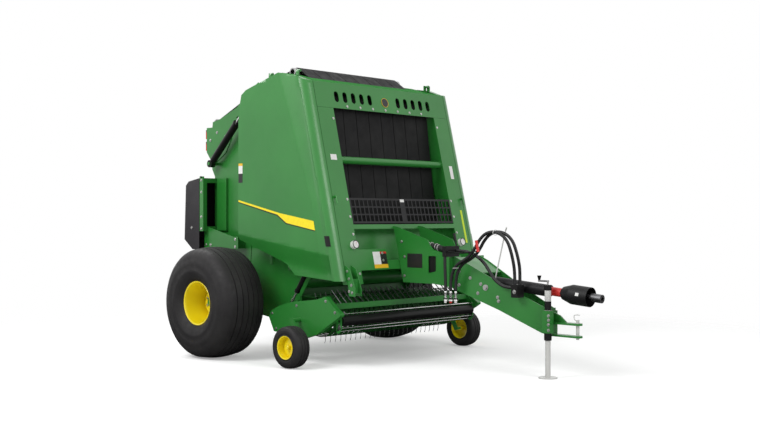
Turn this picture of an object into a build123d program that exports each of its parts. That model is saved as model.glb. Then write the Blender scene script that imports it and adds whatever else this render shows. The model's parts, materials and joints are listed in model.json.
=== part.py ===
from build123d import *
import os
from math import asin, atan2, cos, degrees, hypot, pi, radians, sin, sqrt, tan

# A towed round baler on its wheels and its jack. All sizes are in millimetres.
# X points forward to the hitch and is counted from the main axle, Y points to the left, and the
# floor is at Z = 0. What stands on both sides is made for side = -1, the right, and 1, the left.

# Whole machine
TYRE_D = 1140
TYRE_W = 546
WHEEL_Y = 1290
PTO_TIP_X = 3840
COVER_REAR_X = -925
MIDDLE_X = (PTO_TIP_X + COVER_REAR_X) / 2
SIDES = (-1, 1)

# Chamber side sheets, one on each side of the bale
SHEET = 8
WALL_IN = 781
WALL_OUT = WALL_IN + SHEET
GAP = 10
PIN_FIT = 0.1
SEAT = 0.3

# The front leans back: its face is at FRONT_X at the floor and LEAN further back for each mm of height
FRONT_X = 1840.5
LEAN = 0.246
FRONT_SHEET = 6
POST_OUT = 965
WINDOW_IN = 750
POST_FOOT = 800
HOOD_Z = 2527
ROOF_FRONT_Z = 2787
ROOF_REAR = (690, 2905)


def front_x(z):
    """The X of the leaning front face at a height."""
    return FRONT_X - LEAN * z


def span(side, near, far):
    """Two limits along Y on one side of the machine, the lower first."""
    return sorted((side * near, side * far))


def face_of(outline, y, radius=0):
    """A flat face from (x, z) corners, all rounded alike where a radius is given."""
    corners = [(x, y, z) for x, z in outline]
    if radius:
        return make_face(FilletPolyline(*corners, radius=radius, close=True))
    return make_face(Polyline(*corners, close=True))


def slab(outline, y0, y1, radius=0):
    """A plate on edge between two limits along Y, cut to an outline of (x, z) corners."""
    return extrude(face_of(outline, y0, radius), amount=y1 - y0, dir=(0, 1, 0))


def block(x, y, z):
    """A box between pairs of limits along X, Y and Z."""
    pairs = (x, y, z)
    size = [high - low for low, high in pairs]
    middle = [(high + low) / 2 for low, high in pairs]
    return Pos(*middle) * Box(*size)


def bar(start, end, radius, bore=0):
    """A round bar from one point to another, or a tube where it has a bore."""
    along = Vector(*end) - Vector(*start)
    section = Circle(radius)
    if bore:
        section = section - Circle(bore)
    return extrude(Plane(origin=start, z_dir=along) * section, amount=along.length)


def cross_bar(x, z, radius, y0, y1, bore=0):
    """A bar or tube that lies across the machine, along Y."""
    return bar((x, y0, z), (x, y1, z), radius, bore)


def leaning(y, z, depth):
    """A box parallel to the leaning front, between two depths behind its face."""
    low, high = z
    near, far = depth
    foot = front_x(low)
    section = Rectangle(far - near, y[1] - y[0])
    base = Pos(foot - (near + far) / 2, (y[0] + y[1]) / 2, low) * section
    rise = high - low
    return extrude(base, amount=rise * sqrt(1 + LEAN**2), dir=(-LEAN, 0, 1))


def ring_of(outline, axis_x, axis_z, middle_y, side):
    """A body turned about an axis along Y; its outline is (radius, distance outward) corners."""
    corners = [(axis_x + r, middle_y + side * y, axis_z) for r, y in outline]
    section = make_face(Polyline(*corners, close=True))
    return revolve(section, Axis((axis_x, 0, axis_z), (0, 1, 0)), 360)


def save(name, *solids):
    """Write one sub-part, moved so that the frame's origin is under the machine's middle."""
    shape = solids[0] if len(solids) == 1 else Compound(children=list(solids))
    export_step(Pos(-MIDDLE_X, 0, 0) * shape, f"parts/{name}.step")


os.makedirs("parts", exist_ok=True)

# Main frame: side sheets with a lug for the axle, a hinge boss for the gate and pickup pivots

AXLE_Z = TYRE_D / 2
AXLE_HALF = 50
AXLE_WALL = 10
HINGE = (120, 2820)
HINGE_BOSS_R = 46
HINGE_PIN_R = 20
SEAM_FOOT = (-27, 775)
SEAM_TOP = (93, 2700)
PICKUP_PIVOT = (640, 600)
PICKUP_PIN_R = 20
FLOOR_LINE_Z = 930

wall_outline = [
    SEAM_FOOT, (-75, AXLE_Z + 120), (-75, AXLE_Z - 100), (60, AXLE_Z - 140), (336, AXLE_Z - 176),
    (760, 604), (942, 854), (1000, FLOOR_LINE_Z), (front_x(FLOOR_LINE_Z) - FRONT_SHEET, FLOOR_LINE_Z),
    (front_x(ROOF_FRONT_Z) - FRONT_SHEET, ROOF_FRONT_Z - 2 * FRONT_SHEET),
    (ROOF_REAR[0], ROOF_REAR[1] - FRONT_SHEET), (560, 2870), (160, 2870), SEAM_TOP,
]
FOLDS = [((330, 960), (330, 2560)), ((620, 900), (620, 2700)), ((960, 1060), (960, 2660))]
FOLD_R = 22


def side_wall(side):
    """One chamber side sheet, pressed with upright folds, and the two pivot pins on it."""
    y0, y1 = span(side, WALL_IN, WALL_OUT)
    sheet = slab(wall_outline, y0, y1)
    sheet -= block((-AXLE_HALF, AXLE_HALF), (y0, y1), (AXLE_Z - AXLE_HALF, AXLE_Z + AXLE_HALF))
    sheet += cross_bar(*HINGE, HINGE_BOSS_R, y0, y1)
    hinge_pin = cross_bar(*HINGE, HINGE_PIN_R, *span(side, WALL_OUT, WALL_OUT + 24))
    pivot_pin = cross_bar(*PICKUP_PIVOT, PICKUP_PIN_R, *span(side, WALL_OUT, WALL_OUT + 26))
    for (xa, za), (xb, zb) in FOLDS:
        fold = bar((xa, side * WALL_OUT, za), (xb, side * WALL_OUT, zb), FOLD_R)
        sheet += fold & block((0, 1200), span(side, WALL_OUT, WALL_OUT + FOLD_R), (0, 3000))
    return [sheet, hinge_pin, pivot_pin]


# Frame anchors of the gate cylinders and of the pickup lift cylinders

GATE_ANCHOR = (55, 2640)
GATE_LUG = (WALL_OUT + 41, WALL_OUT + 53)
LIFT_ANCHOR = (1100, 985)
LIFT_PIN_R = 12
LIFT_Y = 945


def anchor_lugs(side):
    """The two brackets outside a side sheet that the hydraulic cylinders push against."""
    x, z = GATE_ANCHOR
    arm = block((x + 60, x + 110), span(side, WALL_OUT, GATE_LUG[1]), (z - 40, z + 40))
    plate = slab([(x - 35, z - 40), (x + 110, z - 40), (x + 110, z + 40), (x - 35, z + 40)],
                 *span(side, *GATE_LUG), radius=25)
    pin = cross_bar(*LIFT_ANCHOR, LIFT_PIN_R, *span(side, WALL_OUT, LIFT_Y + 30))
    return arm + plate, pin


walls = []
for side in SIDES:
    walls += [*side_wall(side), *anchor_lugs(side)]

# Front frame: two posts, the cross tube in the window, the bar under it and the lower panels

WINDOW_Z = 1374
CROSSBAR_Z = 1330
WINDOW_DEPTH = 190
LOWER_TOP = 1130
LOWER_IN = 360
TUBE_R = 36
WINDOW_TUBE = (1295, 2010)
BEAM_DEPTH = 105
BULKHEAD_Z = 1362


def post(side):
    """A front post: face sheet, return beside the window and return behind the side shield."""
    face = leaning(span(side, WINDOW_IN, POST_OUT), (POST_FOOT, HOOD_Z), (0, FRONT_SHEET))
    reveal = leaning(span(side, WINDOW_IN, WINDOW_IN + FRONT_SHEET), (FLOOR_LINE_Z, HOOD_Z),
                     (0, WINDOW_DEPTH))
    edge = leaning(span(side, POST_OUT - FRONT_SHEET, POST_OUT), (POST_FOOT, HOOD_Z), (0, 60))
    return face + reveal + edge


front_frame = post(-1) + post(1)
front_frame += leaning((-WINDOW_IN, WINDOW_IN), (CROSSBAR_Z, WINDOW_Z), (0, 60))
front_frame += cross_bar(*WINDOW_TUBE, TUBE_R, -WINDOW_IN, WINDOW_IN)
for side in SIDES:
    front_frame += leaning(span(side, LOWER_IN, WINDOW_IN), (FLOOR_LINE_Z, LOWER_TOP),
                           (0, FRONT_SHEET))
front_frame += leaning((-WINDOW_IN, WINDOW_IN), (FLOOR_LINE_Z, FLOOR_LINE_Z + 90),
                       (FRONT_SHEET, BEAM_DEPTH))
front_frame += leaning((-WINDOW_IN, WINDOW_IN), (FLOOR_LINE_Z + 90, BULKHEAD_Z),
                       (WINDOW_DEPTH - 40, WINDOW_DEPTH - 34))
save("front_frame", front_frame)

# Hood: the slotted head panel and the roof sheet that runs back to the top roller

SLOT_PITCH = 117.5
SLOT_FIRST_Y = 210
SLOTS = 5
SLOT_SIZE = (112, 60)
SLOT_Z = 2646


def slot(y):
    """One upright slot with round ends, cut square to the leaning face."""
    tilt = degrees(atan2(LEAN, 1))
    cutter = Pos(front_x(SLOT_Z), y, SLOT_Z) * Rot(0, -tilt, 0) * Rot(0, 90, 0)
    return extrude(cutter * SlotOverall(*SLOT_SIZE), amount=20, both=True)


head = leaning((-POST_OUT, POST_OUT), (HOOD_Z + 2, ROOF_FRONT_Z), (0, FRONT_SHEET))
for side in SIDES:
    for step in range(SLOTS):
        head -= slot(side * (SLOT_FIRST_Y + step * SLOT_PITCH))
roof_line = [(front_x(ROOF_FRONT_Z), ROOF_FRONT_Z), ROOF_REAR]
roof = [*roof_line, *[(x, z - FRONT_SHEET) for x, z in reversed(roof_line)]]
roof_sheet = slab(roof, -POST_OUT, POST_OUT)
head -= roof_sheet
BELT_EXIT = (ROOF_REAR[0] - 1, 880)
BELT_EXIT_HALF = 735
roof_sheet -= block(BELT_EXIT, (-BELT_EXIT_HALF, BELT_EXIT_HALF), (2800, 2950))

# Roof strips over the drive space between each side sheet and its shield

STRIP_LINE = [(195, 2700), (265, 2738), (425, 2782), (685, 2856)]


def roof_strip(side):
    """A narrow roof sheet from a side sheet out to the shield's hinge line."""
    low = [(x, z - SHEET / 2) for x, z in reversed(STRIP_LINE)]
    return slab([*STRIP_LINE, *low], *span(side, WALL_OUT, POST_OUT))


save("hood", head, roof_sheet, *[roof_strip(side) for side in SIDES])

# Grille below the belts

GRILLE_Z = (1384, 1634)
GRILLE_HALF = WINDOW_IN - SEAT
GRILLE_T = 12
GRILLE_ROWS = 3
GRILLE_COLUMNS = 24
GRILLE_RIM = 20
GRILLE_RIB = 14
GRILLE_POST = 44


def grille():
    """A flat grille with three rows of upright slots on each side of a middle post."""
    low, high = GRILLE_Z
    plate = leaning((-GRILLE_HALF, GRILLE_HALF), GRILLE_Z, (0, GRILLE_T))
    row_pitch = (high - low - 2 * GRILLE_RIM + GRILLE_RIB) / GRILLE_ROWS
    run = GRILLE_HALF - GRILLE_RIM - GRILLE_POST / 2
    pitch = run / (GRILLE_COLUMNS / 2)
    cutters = []
    for row in range(GRILLE_ROWS):
        z0 = low + GRILLE_RIM + row * row_pitch
        for side in SIDES:
            for step in range(GRILLE_COLUMNS // 2):
                near = GRILLE_POST / 2 + step * pitch
                limits = span(side, near + GRILLE_RIB, near + pitch)
                cutters.append(leaning(limits, (z0, z0 + row_pitch - GRILLE_RIB), (-1, GRILLE_T + 1)))
    return plate - cutters


save("grille", grille())

# Belts: eight flat belts over rollers; the front run stays on the frame, the rear run on the gate

BELT_W = 174
BELT_PITCH = 181
BELTS = 8
BELT_T = 8
ROLLER_HALF = WALL_IN - SEAT
ROLLER_WALL = 12
FRONT_ROLLERS = [(1147, 1520, 0), (1211, 1400, 60), (1057, 2630, 60), (640, 2932, 45), (205, 2868, 0)]
GATE_ROLLERS = [(100, 2846, 0), (-625, 2470, 62), (-520, 1020, 60), (-120, 845, 45), (-66, 960, 0)]


def belt_line(rollers):
    """The line of a belt that passes outside its rollers, each given as x, z and radius."""
    pieces = []
    half = BELT_T / 2
    rims = [(x, z, r + half if r else 0) for x, z, r in rollers]
    runs = []
    for (xa, za, ra), (xb, zb, rb) in zip(rims, rims[1:]):
        length = hypot(xb - xa, zb - za)
        ux, uz = (xb - xa) / length, (zb - za) / length
        lift = asin((ra - rb) / length)
        nx = cos(lift) * uz + sin(lift) * ux
        nz = -cos(lift) * ux + sin(lift) * uz
        runs.append(((xa + ra * nx, za + ra * nz), (xb + rb * nx, zb + rb * nz), atan2(nz, nx)))
    for index, (start, end, normal) in enumerate(runs):
        pieces.append(Line((start[0], 0, start[1]), (end[0], 0, end[1])))
        if index + 1 < len(runs):
            x, z, r = rims[index + 1]
            turn = (runs[index + 1][2] - normal) % (2 * pi)
            middle = normal + turn / 2
            peak = (x + r * cos(middle), 0, z + r * sin(middle))
            follow = runs[index + 1][0]
            pieces.append(ThreePointArc((end[0], 0, end[1]), peak, (follow[0], 0, follow[1])))
    return Wire(pieces)


def belt_set(rollers):
    """All the belts side by side on one set of rollers."""
    line = belt_line(rollers)
    section = Plane(origin=line @ 0, x_dir=(0, 1, 0), z_dir=line % 0) * Rectangle(BELT_W, BELT_T)
    belt = sweep(section, path=line)
    first = -(BELTS - 1) / 2 * BELT_PITCH
    return [Pos(0, first + step * BELT_PITCH, 0) * belt for step in range(BELTS)]


def roller_set(rollers):
    """The roller drums of a run of belts, each reaching from side sheet to side sheet."""
    return [cross_bar(x, z, r - SEAT, -ROLLER_HALF, ROLLER_HALF, r - ROLLER_WALL)
            for x, z, r in rollers if r]


save("front_belts", *belt_set(FRONT_ROLLERS))
save("front_rollers", *roller_set(FRONT_ROLLERS))
FLOOR_ROLLERS = [(330, 560, 110), (800, 800, 80)]
FEED_SHEET = ((744, 752), (440, 719))
feed_sheet = block(FEED_SHEET[0], (-ROLLER_HALF, ROLLER_HALF), FEED_SHEET[1])
save("floor_rollers", *roller_set(FLOOR_ROLLERS), feed_sheet)

# Axle: a square tube through both side sheets, with a spindle at each end

SPINDLE_R = 35
AXLE_CLEAR = 17
SPINDLE_OVER = 50
AXLE_REACH = WHEEL_Y - TYRE_W / 2 - AXLE_CLEAR
SPINDLE_REACH = WHEEL_Y + SPINDLE_OVER

axle = block((-AXLE_HALF, AXLE_HALF), (-AXLE_REACH, AXLE_REACH), (AXLE_Z - AXLE_HALF, AXLE_Z + AXLE_HALF))
inner = AXLE_HALF - AXLE_WALL
axle -= block((-inner, inner), (-AXLE_REACH + 12, AXLE_REACH - 12), (AXLE_Z - inner, AXLE_Z + inner))
spindles = [cross_bar(0, AXLE_Z, SPINDLE_R, *span(side, AXLE_REACH, SPINDLE_REACH)) for side in SIDES]
save("axle", axle, *spindles)

# Main wheels: low wide tyres on deep dished rims

RIM_R = 205
RIM_HALF = 215
RIM_T = 12
BEAD_HALF = 195
HUB_R = 60
HUB_IN = 110
HUB_OUT = 62
BORE_R = SPINDLE_R + PIN_FIT


def tyre(x, z, middle_y, outer_r, half_w, bead_r, bead_half):
    """A tyre turned about its axle: beads, full side walls, round shoulders and a narrow crown."""
    height = outer_r - bead_r
    half = [(0, bead_half / half_w), (0.16, 0.93), (0.6, 1), (0.93, 0.78), (1, 0.42)]
    outline = [(bead_r + share * height, reach * half_w) for share, reach in half]
    outline += [(r, -y) for r, y in reversed(outline)]
    return ring_of(outline, x, z, middle_y, 1)


def main_rim(side):
    """A rim in one turned section: hub tube, dished disc and the barrel that carries the tyre."""
    inner = RIM_R - RIM_T
    section = [(BORE_R, -HUB_IN), (HUB_R, -HUB_IN), (HUB_R, 12), (130, 12), (inner, -78),
               (inner, -RIM_HALF), (RIM_R, -RIM_HALF), (RIM_R, RIM_HALF), (inner, RIM_HALF),
               (inner, -66), (130, 20), (HUB_R, 20), (HUB_R, HUB_OUT), (0, HUB_OUT),
               (0, HUB_OUT - 8), (BORE_R, HUB_OUT - 8)]
    return ring_of(section, 0, AXLE_Z, side * WHEEL_Y, side)


for side, word in ((-1, "right"), (1, "left")):
    save(f"tyre_{word}", tyre(0, AXLE_Z, side * WHEEL_Y, TYRE_D / 2, TYRE_W / 2, RIM_R, BEAD_HALF))
    save(f"rim_{word}", main_rim(side))

# Tongue: a mount on the front beam, two plates that close to the hitch, and the hitch itself

MOUNT_IN = 183
MOUNT_T = 8
MOUNT_OUT = MOUNT_IN + MOUNT_T
MOUNT_FRONT = 2300
FLANGE_OUT = 262
TONGUE_KINK = (2400, MOUNT_IN)
TONGUE_TIP = (3300, 50)
TONGUE_T = 8
TONGUE_CLOSING = (TONGUE_KINK[1] - TONGUE_TIP[1]) / (TONGUE_TIP[0] - TONGUE_KINK[0])
MOUNT_HAND_HOLE = [(1980, 1068), (2078, 1068), (2078, 918), (1980, 896)]


def mount_plate(side):
    """A side plate from the front frame to the tongue, with a flange turned out at its end."""
    back_top = front_x(1357)
    back_low = front_x(796)
    outline = [(back_low, 796), (back_top, 1357), (1560, 1350), (1970, 1222), (2000, 1170),
               (2050, 1126), (MOUNT_FRONT, 1070), (MOUNT_FRONT, 770), (2050, 796)]
    plate = slab(outline, *span(side, MOUNT_IN, MOUNT_OUT))
    plate -= slab(MOUNT_HAND_HOLE, *span(side, MOUNT_IN, MOUNT_OUT), radius=14)
    flange = block((MOUNT_FRONT, MOUNT_FRONT + MOUNT_T), span(side, MOUNT_IN, FLANGE_OUT), (770, 1070))
    return [plate, flange]


CRADLE_Z = (800, 812)
cradle = block((1700, 2060), (-MOUNT_IN, MOUNT_IN), CRADLE_Z)
save("tongue_mount", cradle, *mount_plate(-1), *mount_plate(1))

tongue_outline = [(MOUNT_FRONT + MOUNT_T, 1070), (2415, 1029), (2804, 840), (3266, 634), (3300, 620),
                  (3300, 385), (3246, 397), (2804, 583), (2437, 716), (MOUNT_FRONT + MOUNT_T, 760)]


def tongue_plate(side):
    """One tongue plate, turned in from the mount to the tip."""
    run = TONGUE_TIP[0] - TONGUE_KINK[0]
    angle = degrees(atan2(TONGUE_KINK[1] - TONGUE_TIP[1], run))
    local = [(x - TONGUE_KINK[0], z) for x, z in tongue_outline]
    plate = slab(local, *span(side, 0, TONGUE_T))
    return Pos(TONGUE_KINK[0], side * TONGUE_KINK[1], 0) * Rot(0, 0, -side * angle) * plate


def tongue_in(x):
    """The inner face of a tongue plate at a station along X."""
    return TONGUE_KINK[1] - (x - TONGUE_KINK[0]) * TONGUE_CLOSING


# The jack stands in a socket on the right of the tongue's tip

HITCH_FACE_X = 3304
HITCH_HALF = 62
JACK = (3330, -96)
JACK_TUBE_R = 29
SOCKET_HALF = 38
SOCKET_Z = (406, 606)
COVER_LINE = [(MOUNT_FRONT + MOUNT_T, 1060), (2415, 1019), (2610, 924)]

hitch_block = block((HITCH_FACE_X - 14, HITCH_FACE_X), (-HITCH_HALF, HITCH_HALF), (385, 622))
socket = block((JACK[0] - SOCKET_HALF, JACK[0] + SOCKET_HALF), (JACK[1] - SOCKET_HALF + 2, -HITCH_HALF),
               SOCKET_Z)
socket -= bar((*JACK, SOCKET_Z[0]), (*JACK, SOCKET_Z[1]), JACK_TUBE_R + SEAT)
plates = [tongue_plate(side) - hitch_block for side in SIDES]
x0, x1 = COVER_LINE[0][0], COVER_LINE[-1][0]
plan = Polyline((x0, -tongue_in(x0), 0), (x1, -tongue_in(x1), 0), (x1, tongue_in(x1), 0),
                (x0, tongue_in(x0), 0), close=True)
cover_band = slab([*COVER_LINE, *[(x, z - TONGUE_T) for x, z in reversed(COVER_LINE)]], -220, 220)
cover = extrude(make_face(plan), amount=1200, dir=(0, 0, 1)) & cover_band
tongue = hitch_block + plates[0] + plates[1]
save("tongue", hitch_block, *plates, cover, socket)

CLEVIS_X = 3583
CLEVIS_R = 42
CLEVIS_T = 18
CLEVIS_Z = (373, 483)
PIN_HOLE_R = 16


def clevis():
    """Two horizontal tongues with a pin hole, welded to an upright back plate."""
    body = block((HITCH_FACE_X, HITCH_FACE_X + 20), (-HITCH_HALF, HITCH_HALF), (385, 600))
    for z in CLEVIS_Z:
        ear = block((HITCH_FACE_X + 20, CLEVIS_X), (-CLEVIS_R, CLEVIS_R), (z, z + CLEVIS_T))
        ear += bar((CLEVIS_X, 0, z), (CLEVIS_X, 0, z + CLEVIS_T), CLEVIS_R)
        body += ear - bar((CLEVIS_X, 0, z), (CLEVIS_X, 0, z + CLEVIS_T), PIN_HOLE_R)
    rib = [(HITCH_FACE_X + 20, 501), (3470, 501), (3400, 560), (HITCH_FACE_X + 20, 590)]
    return body + slab(rib, -8, 8)


save("clevis", clevis())

# Gearbox and drive shaft: the shaft slopes down to the tractor inside a fixed guard

PTO_START = (1990, 0, 884)
PTO_GUARD_END = (3290, 0, 776)
GEARBOX = ((1720, 1960), (-120, 120), (CRADLE_Z[1], 990))
save("gearbox", block(*GEARBOX) + bar((1960, 0, 886), (1985, 0, 884), 70))

PTO_SLOPE = (884 - 776) / (3290 - 1990)


def on_shaft(x):
    """The point of the drive shaft's axis at a station along X."""
    return (x, 0, PTO_START[2] - (x - PTO_START[0]) * PTO_SLOPE)


GUARD_R = 55
GUARD_WALL = 5
SHAFT_R = 24
BELL_R = 88
guard = bar(on_shaft(1990), on_shaft(3290), GUARD_R, GUARD_R - GUARD_WALL)
guard += bar(on_shaft(1986), on_shaft(1996), GUARD_R, SHAFT_R + PIN_FIT)
guard += bar(on_shaft(3280), on_shaft(3290), GUARD_R, SHAFT_R + 6)
sleeve = bar(on_shaft(3290), on_shaft(3420), 40, SHAFT_R + 6)
bell_axis = Plane(origin=on_shaft(3420), z_dir=Vector(1, 0, -PTO_SLOPE))
bell_outer = [(40, 0), (60, 20), (BELL_R, 110), (BELL_R, 300), (BELL_R - 5, 300), (BELL_R - 5, 112),
              (56, 24), (SHAFT_R + 6, 6), (SHAFT_R + 6, 0)]
bell_face = make_face(Polyline(*[(r, 0, d) for r, d in bell_outer], close=True))
bell = bell_axis * revolve(bell_face, Axis.Z, 360)
save("pto_guard", guard, sleeve, bell)

YOKE_R = 38
SPLINE_R = 17.5
COLLAR = 110
yoke_x = PTO_TIP_X - COLLAR
shaft = bar(on_shaft(1989), on_shaft(yoke_x), SHAFT_R)
tip_dir = Vector(1, 0, -PTO_SLOPE).normalized()
collar_start = Vector(*on_shaft(yoke_x))
collar_len = (PTO_TIP_X - yoke_x - YOKE_R * PTO_SLOPE) / tip_dir.X
collar_end = collar_start + tip_dir * collar_len
shaft += bar(tuple(collar_start), tuple(collar_end), YOKE_R, SPLINE_R)
save("pto_shaft", shaft)

# Jack: a tube with a collar and a head, the leg that slides in it, and the crank

JACK_BORE_R = 25
JACK_LEG_R = 24
JACK_TUBE_Z = (340, 790)
JACK_HEAD_R = 34
JACK_HEAD = 47
JACK_FOOT_R = 85
JACK_FOOT_T = 10
JACK_LEG_TOP = 480
jx, jy = JACK
tube = bar((jx, jy, JACK_TUBE_Z[0]), (jx, jy, JACK_TUBE_Z[1]), JACK_TUBE_R, JACK_BORE_R)
tube += bar((jx, jy, JACK_TUBE_Z[1]), (jx, jy, JACK_TUBE_Z[1] + JACK_HEAD), JACK_HEAD_R)
tube += bar((jx, jy, JACK_TUBE_Z[0]), (jx, jy, SOCKET_Z[0] - SEAT), JACK_HEAD_R, JACK_BORE_R)
save("jack_tube", tube)
leg = bar((jx, jy, 0), (jx, jy, JACK_FOOT_T), JACK_FOOT_R)
leg += bar((jx, jy, JACK_FOOT_T), (jx, jy, JACK_LEG_TOP), JACK_LEG_R)
save("jack_leg", leg)
crank_z = JACK_TUBE_Z[1] + JACK_HEAD
crank = bar((jx, jy, crank_z), (jx, jy, crank_z + 41), 9)
crank += bar((jx + 9, jy, crank_z + 33), (jx - 104, jy, crank_z + 33), 8)
crank += Pos(jx - 94, jy, crank_z + 59) * Cone(8, 20, 44)
save("jack_crank", crank)

# Tailgate: side sheets with hinge ears, frame, rollers and the rear run of the belts

EAR = (WALL_OUT + 6, WALL_OUT + 18)
EAR_R = 50
GATE_PIN = (-595, 2032)
GATE_PIN_R = 18
CYL_Y = 880

gate_outline = [
    (SEAM_TOP[0] - GAP, SEAM_TOP[1]), (40, 2745), (-560, 2525), (-690, 2500), (-700, 2420),
    (-700, 1980), (-650, 1894), (-648, 1200), (-470, 940), (-150, 770),
    (SEAM_FOOT[0] - GAP, SEAM_FOOT[1] + 15),
]


def gate_wall(side):
    """A side sheet of the gate with its hinge ear and the pin of its cylinder."""
    sheet = slab(gate_outline, *span(side, WALL_IN, WALL_OUT))
    pad = slab([(-260, 2520), (-40, 2600), (-40, 2690), (-260, 2620)], *span(side, WALL_OUT, EAR[0]))
    ear = slab([(-260, 2520), (-40, 2600), (HINGE[0] + 44, HINGE[1] - 30), (HINGE[0], HINGE[1] + 50),
                (HINGE[0] - 50, HINGE[1] + 20), (-260, 2620)], *span(side, *EAR))
    ear -= cross_bar(*HINGE, HINGE_PIN_R + PIN_FIT, *span(side, *EAR))
    pin = cross_bar(*GATE_PIN, GATE_PIN_R, *span(side, WALL_OUT, CYL_Y + 40))
    return [sheet, pad + ear, pin]


save("gate_walls", *gate_wall(-1), *gate_wall(1))
save("rear_belts", *belt_set(GATE_ROLLERS))
save("gate_rollers", *roller_set(GATE_ROLLERS))

NET_Y = 1000
NET_POST_X = (-645, -581)
NET_Z = (1294, 1872)
COVER_HINGE = (-655, 1884)
COVER_PIN_R = 6
COVER_LUG_Y = (958, 968)
COVER_EAR_Y = (973, 983)
LOW_BEAM = (-760, -706, 1130, 1190)
TOP_BEAM = (-740, -682, 2070, 2130)
PANEL_Y = (922, 930)
PANEL_OUTLINE = [(-650, 1352), (-581, 1338), (-149, 1238), (-63, 1236), (-63, 1110), (-650, 1110)]


def gate_side_frame(side):
    """The frame outside a gate sheet that carries the net box and the lower panel."""
    hx, hz = COVER_HINGE
    lug_y = span(side, *COVER_LUG_Y)
    net_post = block(NET_POST_X, span(side, NET_Y - 50, NET_Y), NET_Z)
    net_post += block((hx + 10, hx + 35), lug_y, (NET_Z[1], hz + 8)) + block((hx, hx + 10), lug_y,
                                                                           (hz - 8, hz + 8))
    net_post += cross_bar(hx, hz, 10, *lug_y)
    net_post += cross_bar(hx, hz, COVER_PIN_R, *span(side, COVER_LUG_Y[0], COVER_EAR_Y[1] + 8))
    frame = [net_post]
    for z in (NET_Z[0], NET_Z[1] - 50):
        frame.append(block(NET_POST_X, span(side, WALL_OUT, NET_Y - 50), (z, z + 50)))
    panel = slab(PANEL_OUTLINE, *span(side, *PANEL_Y))
    frame.append(panel - frame[1])
    for x in (-560, -120):
        frame.append(block((x, x + 8), span(side, WALL_OUT, PANEL_Y[0]), (1112, 1230)))
    x0, x1, z0, z1 = LOW_BEAM
    frame.append(block((x0, -590), span(side, WALL_OUT, WALL_OUT + 12), (z0, z1)))
    frame.append(block((-575, -410), span(side, WALL_OUT, WALL_OUT + 30), (1300, 1870)))
    return frame


def beam(limits, half):
    """A tube across the gate, given its limits along X and Z."""
    x0, x1, z0, z1 = limits
    return block((x0, x1), (-half, half), (z0, z1))


save("gate_frame", *gate_side_frame(-1), *gate_side_frame(1), beam(LOW_BEAM, WALL_OUT),
     beam(TOP_BEAM, WALL_IN))

LAMP_BOX = (-790, -705, 2170, 2440)
LAMP_Y = (640, WALL_OUT)
LAMP_T = 45


def lamp_bracket(side):
    """A folded box behind the gate for the tail lamps, on a plate bolted to the side sheet."""
    x0, x1, z0, z1 = LAMP_BOX
    plate = slab([(x0, z0), (-700, 2060), (-640, 2040), (-450, 2150), (-350, 2300), (-350, z1), (x0, z1)],
                 *span(side, WALL_OUT, WALL_OUT + 8))
    shell = block((x0, x1), span(side, *LAMP_Y), (z0, z1))
    inside = block((x0 + 5, x1 + 1), span(side, LAMP_Y[0] + 5, LAMP_Y[1] - 5), (z0 + 5, z1 - 5))
    return [plate, shell - inside]


save("lamp_brackets", *lamp_bracket(-1), *lamp_bracket(1))
lamps = []
for side in SIDES:
    for z in (2190, 2320):
        lamps.append(block((LAMP_BOX[0] - LAMP_T, LAMP_BOX[0]), span(side, 655, 775), (z, z + 100)))
save("tail_lamps", *lamps)

# Net box cover: a full-width lid with closed ends, hinged at its top edge

COVER_T = 5
cover_outline = [(-655, 1872), (-850, 1840), (-900, 1795), (-925, 1200), (-775, 1092), (-655, 1092)]


def net_cover():
    """The cover's shell: the outline with a sheet's thickness left on its outside and ends."""
    whole = slab(cover_outline, -NET_Y, NET_Y)
    inner = [(-654, 1866), (-847, 1834), (-895, 1791), (-920, 1203), (-773, 1098), (-654, 1098)]
    shell = whole - slab(inner, -NET_Y + COVER_T, NET_Y - COVER_T)
    hx, hz = COVER_HINGE
    for side in SIDES:
        ear_y = span(side, *COVER_EAR_Y)
        ear = cross_bar(hx, hz, 11, *ear_y) + block((hx - 11, hx - 1), ear_y, (hz - 16, hz))
        shell += ear - cross_bar(hx, hz, COVER_PIN_R + PIN_FIT, *ear_y)
    return shell


save("net_cover", net_cover())

# Gate cylinders and pickup lift cylinders, each a barrel on a pin and a rod that slides in it

ROD_END_GAP = 0.5


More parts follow.
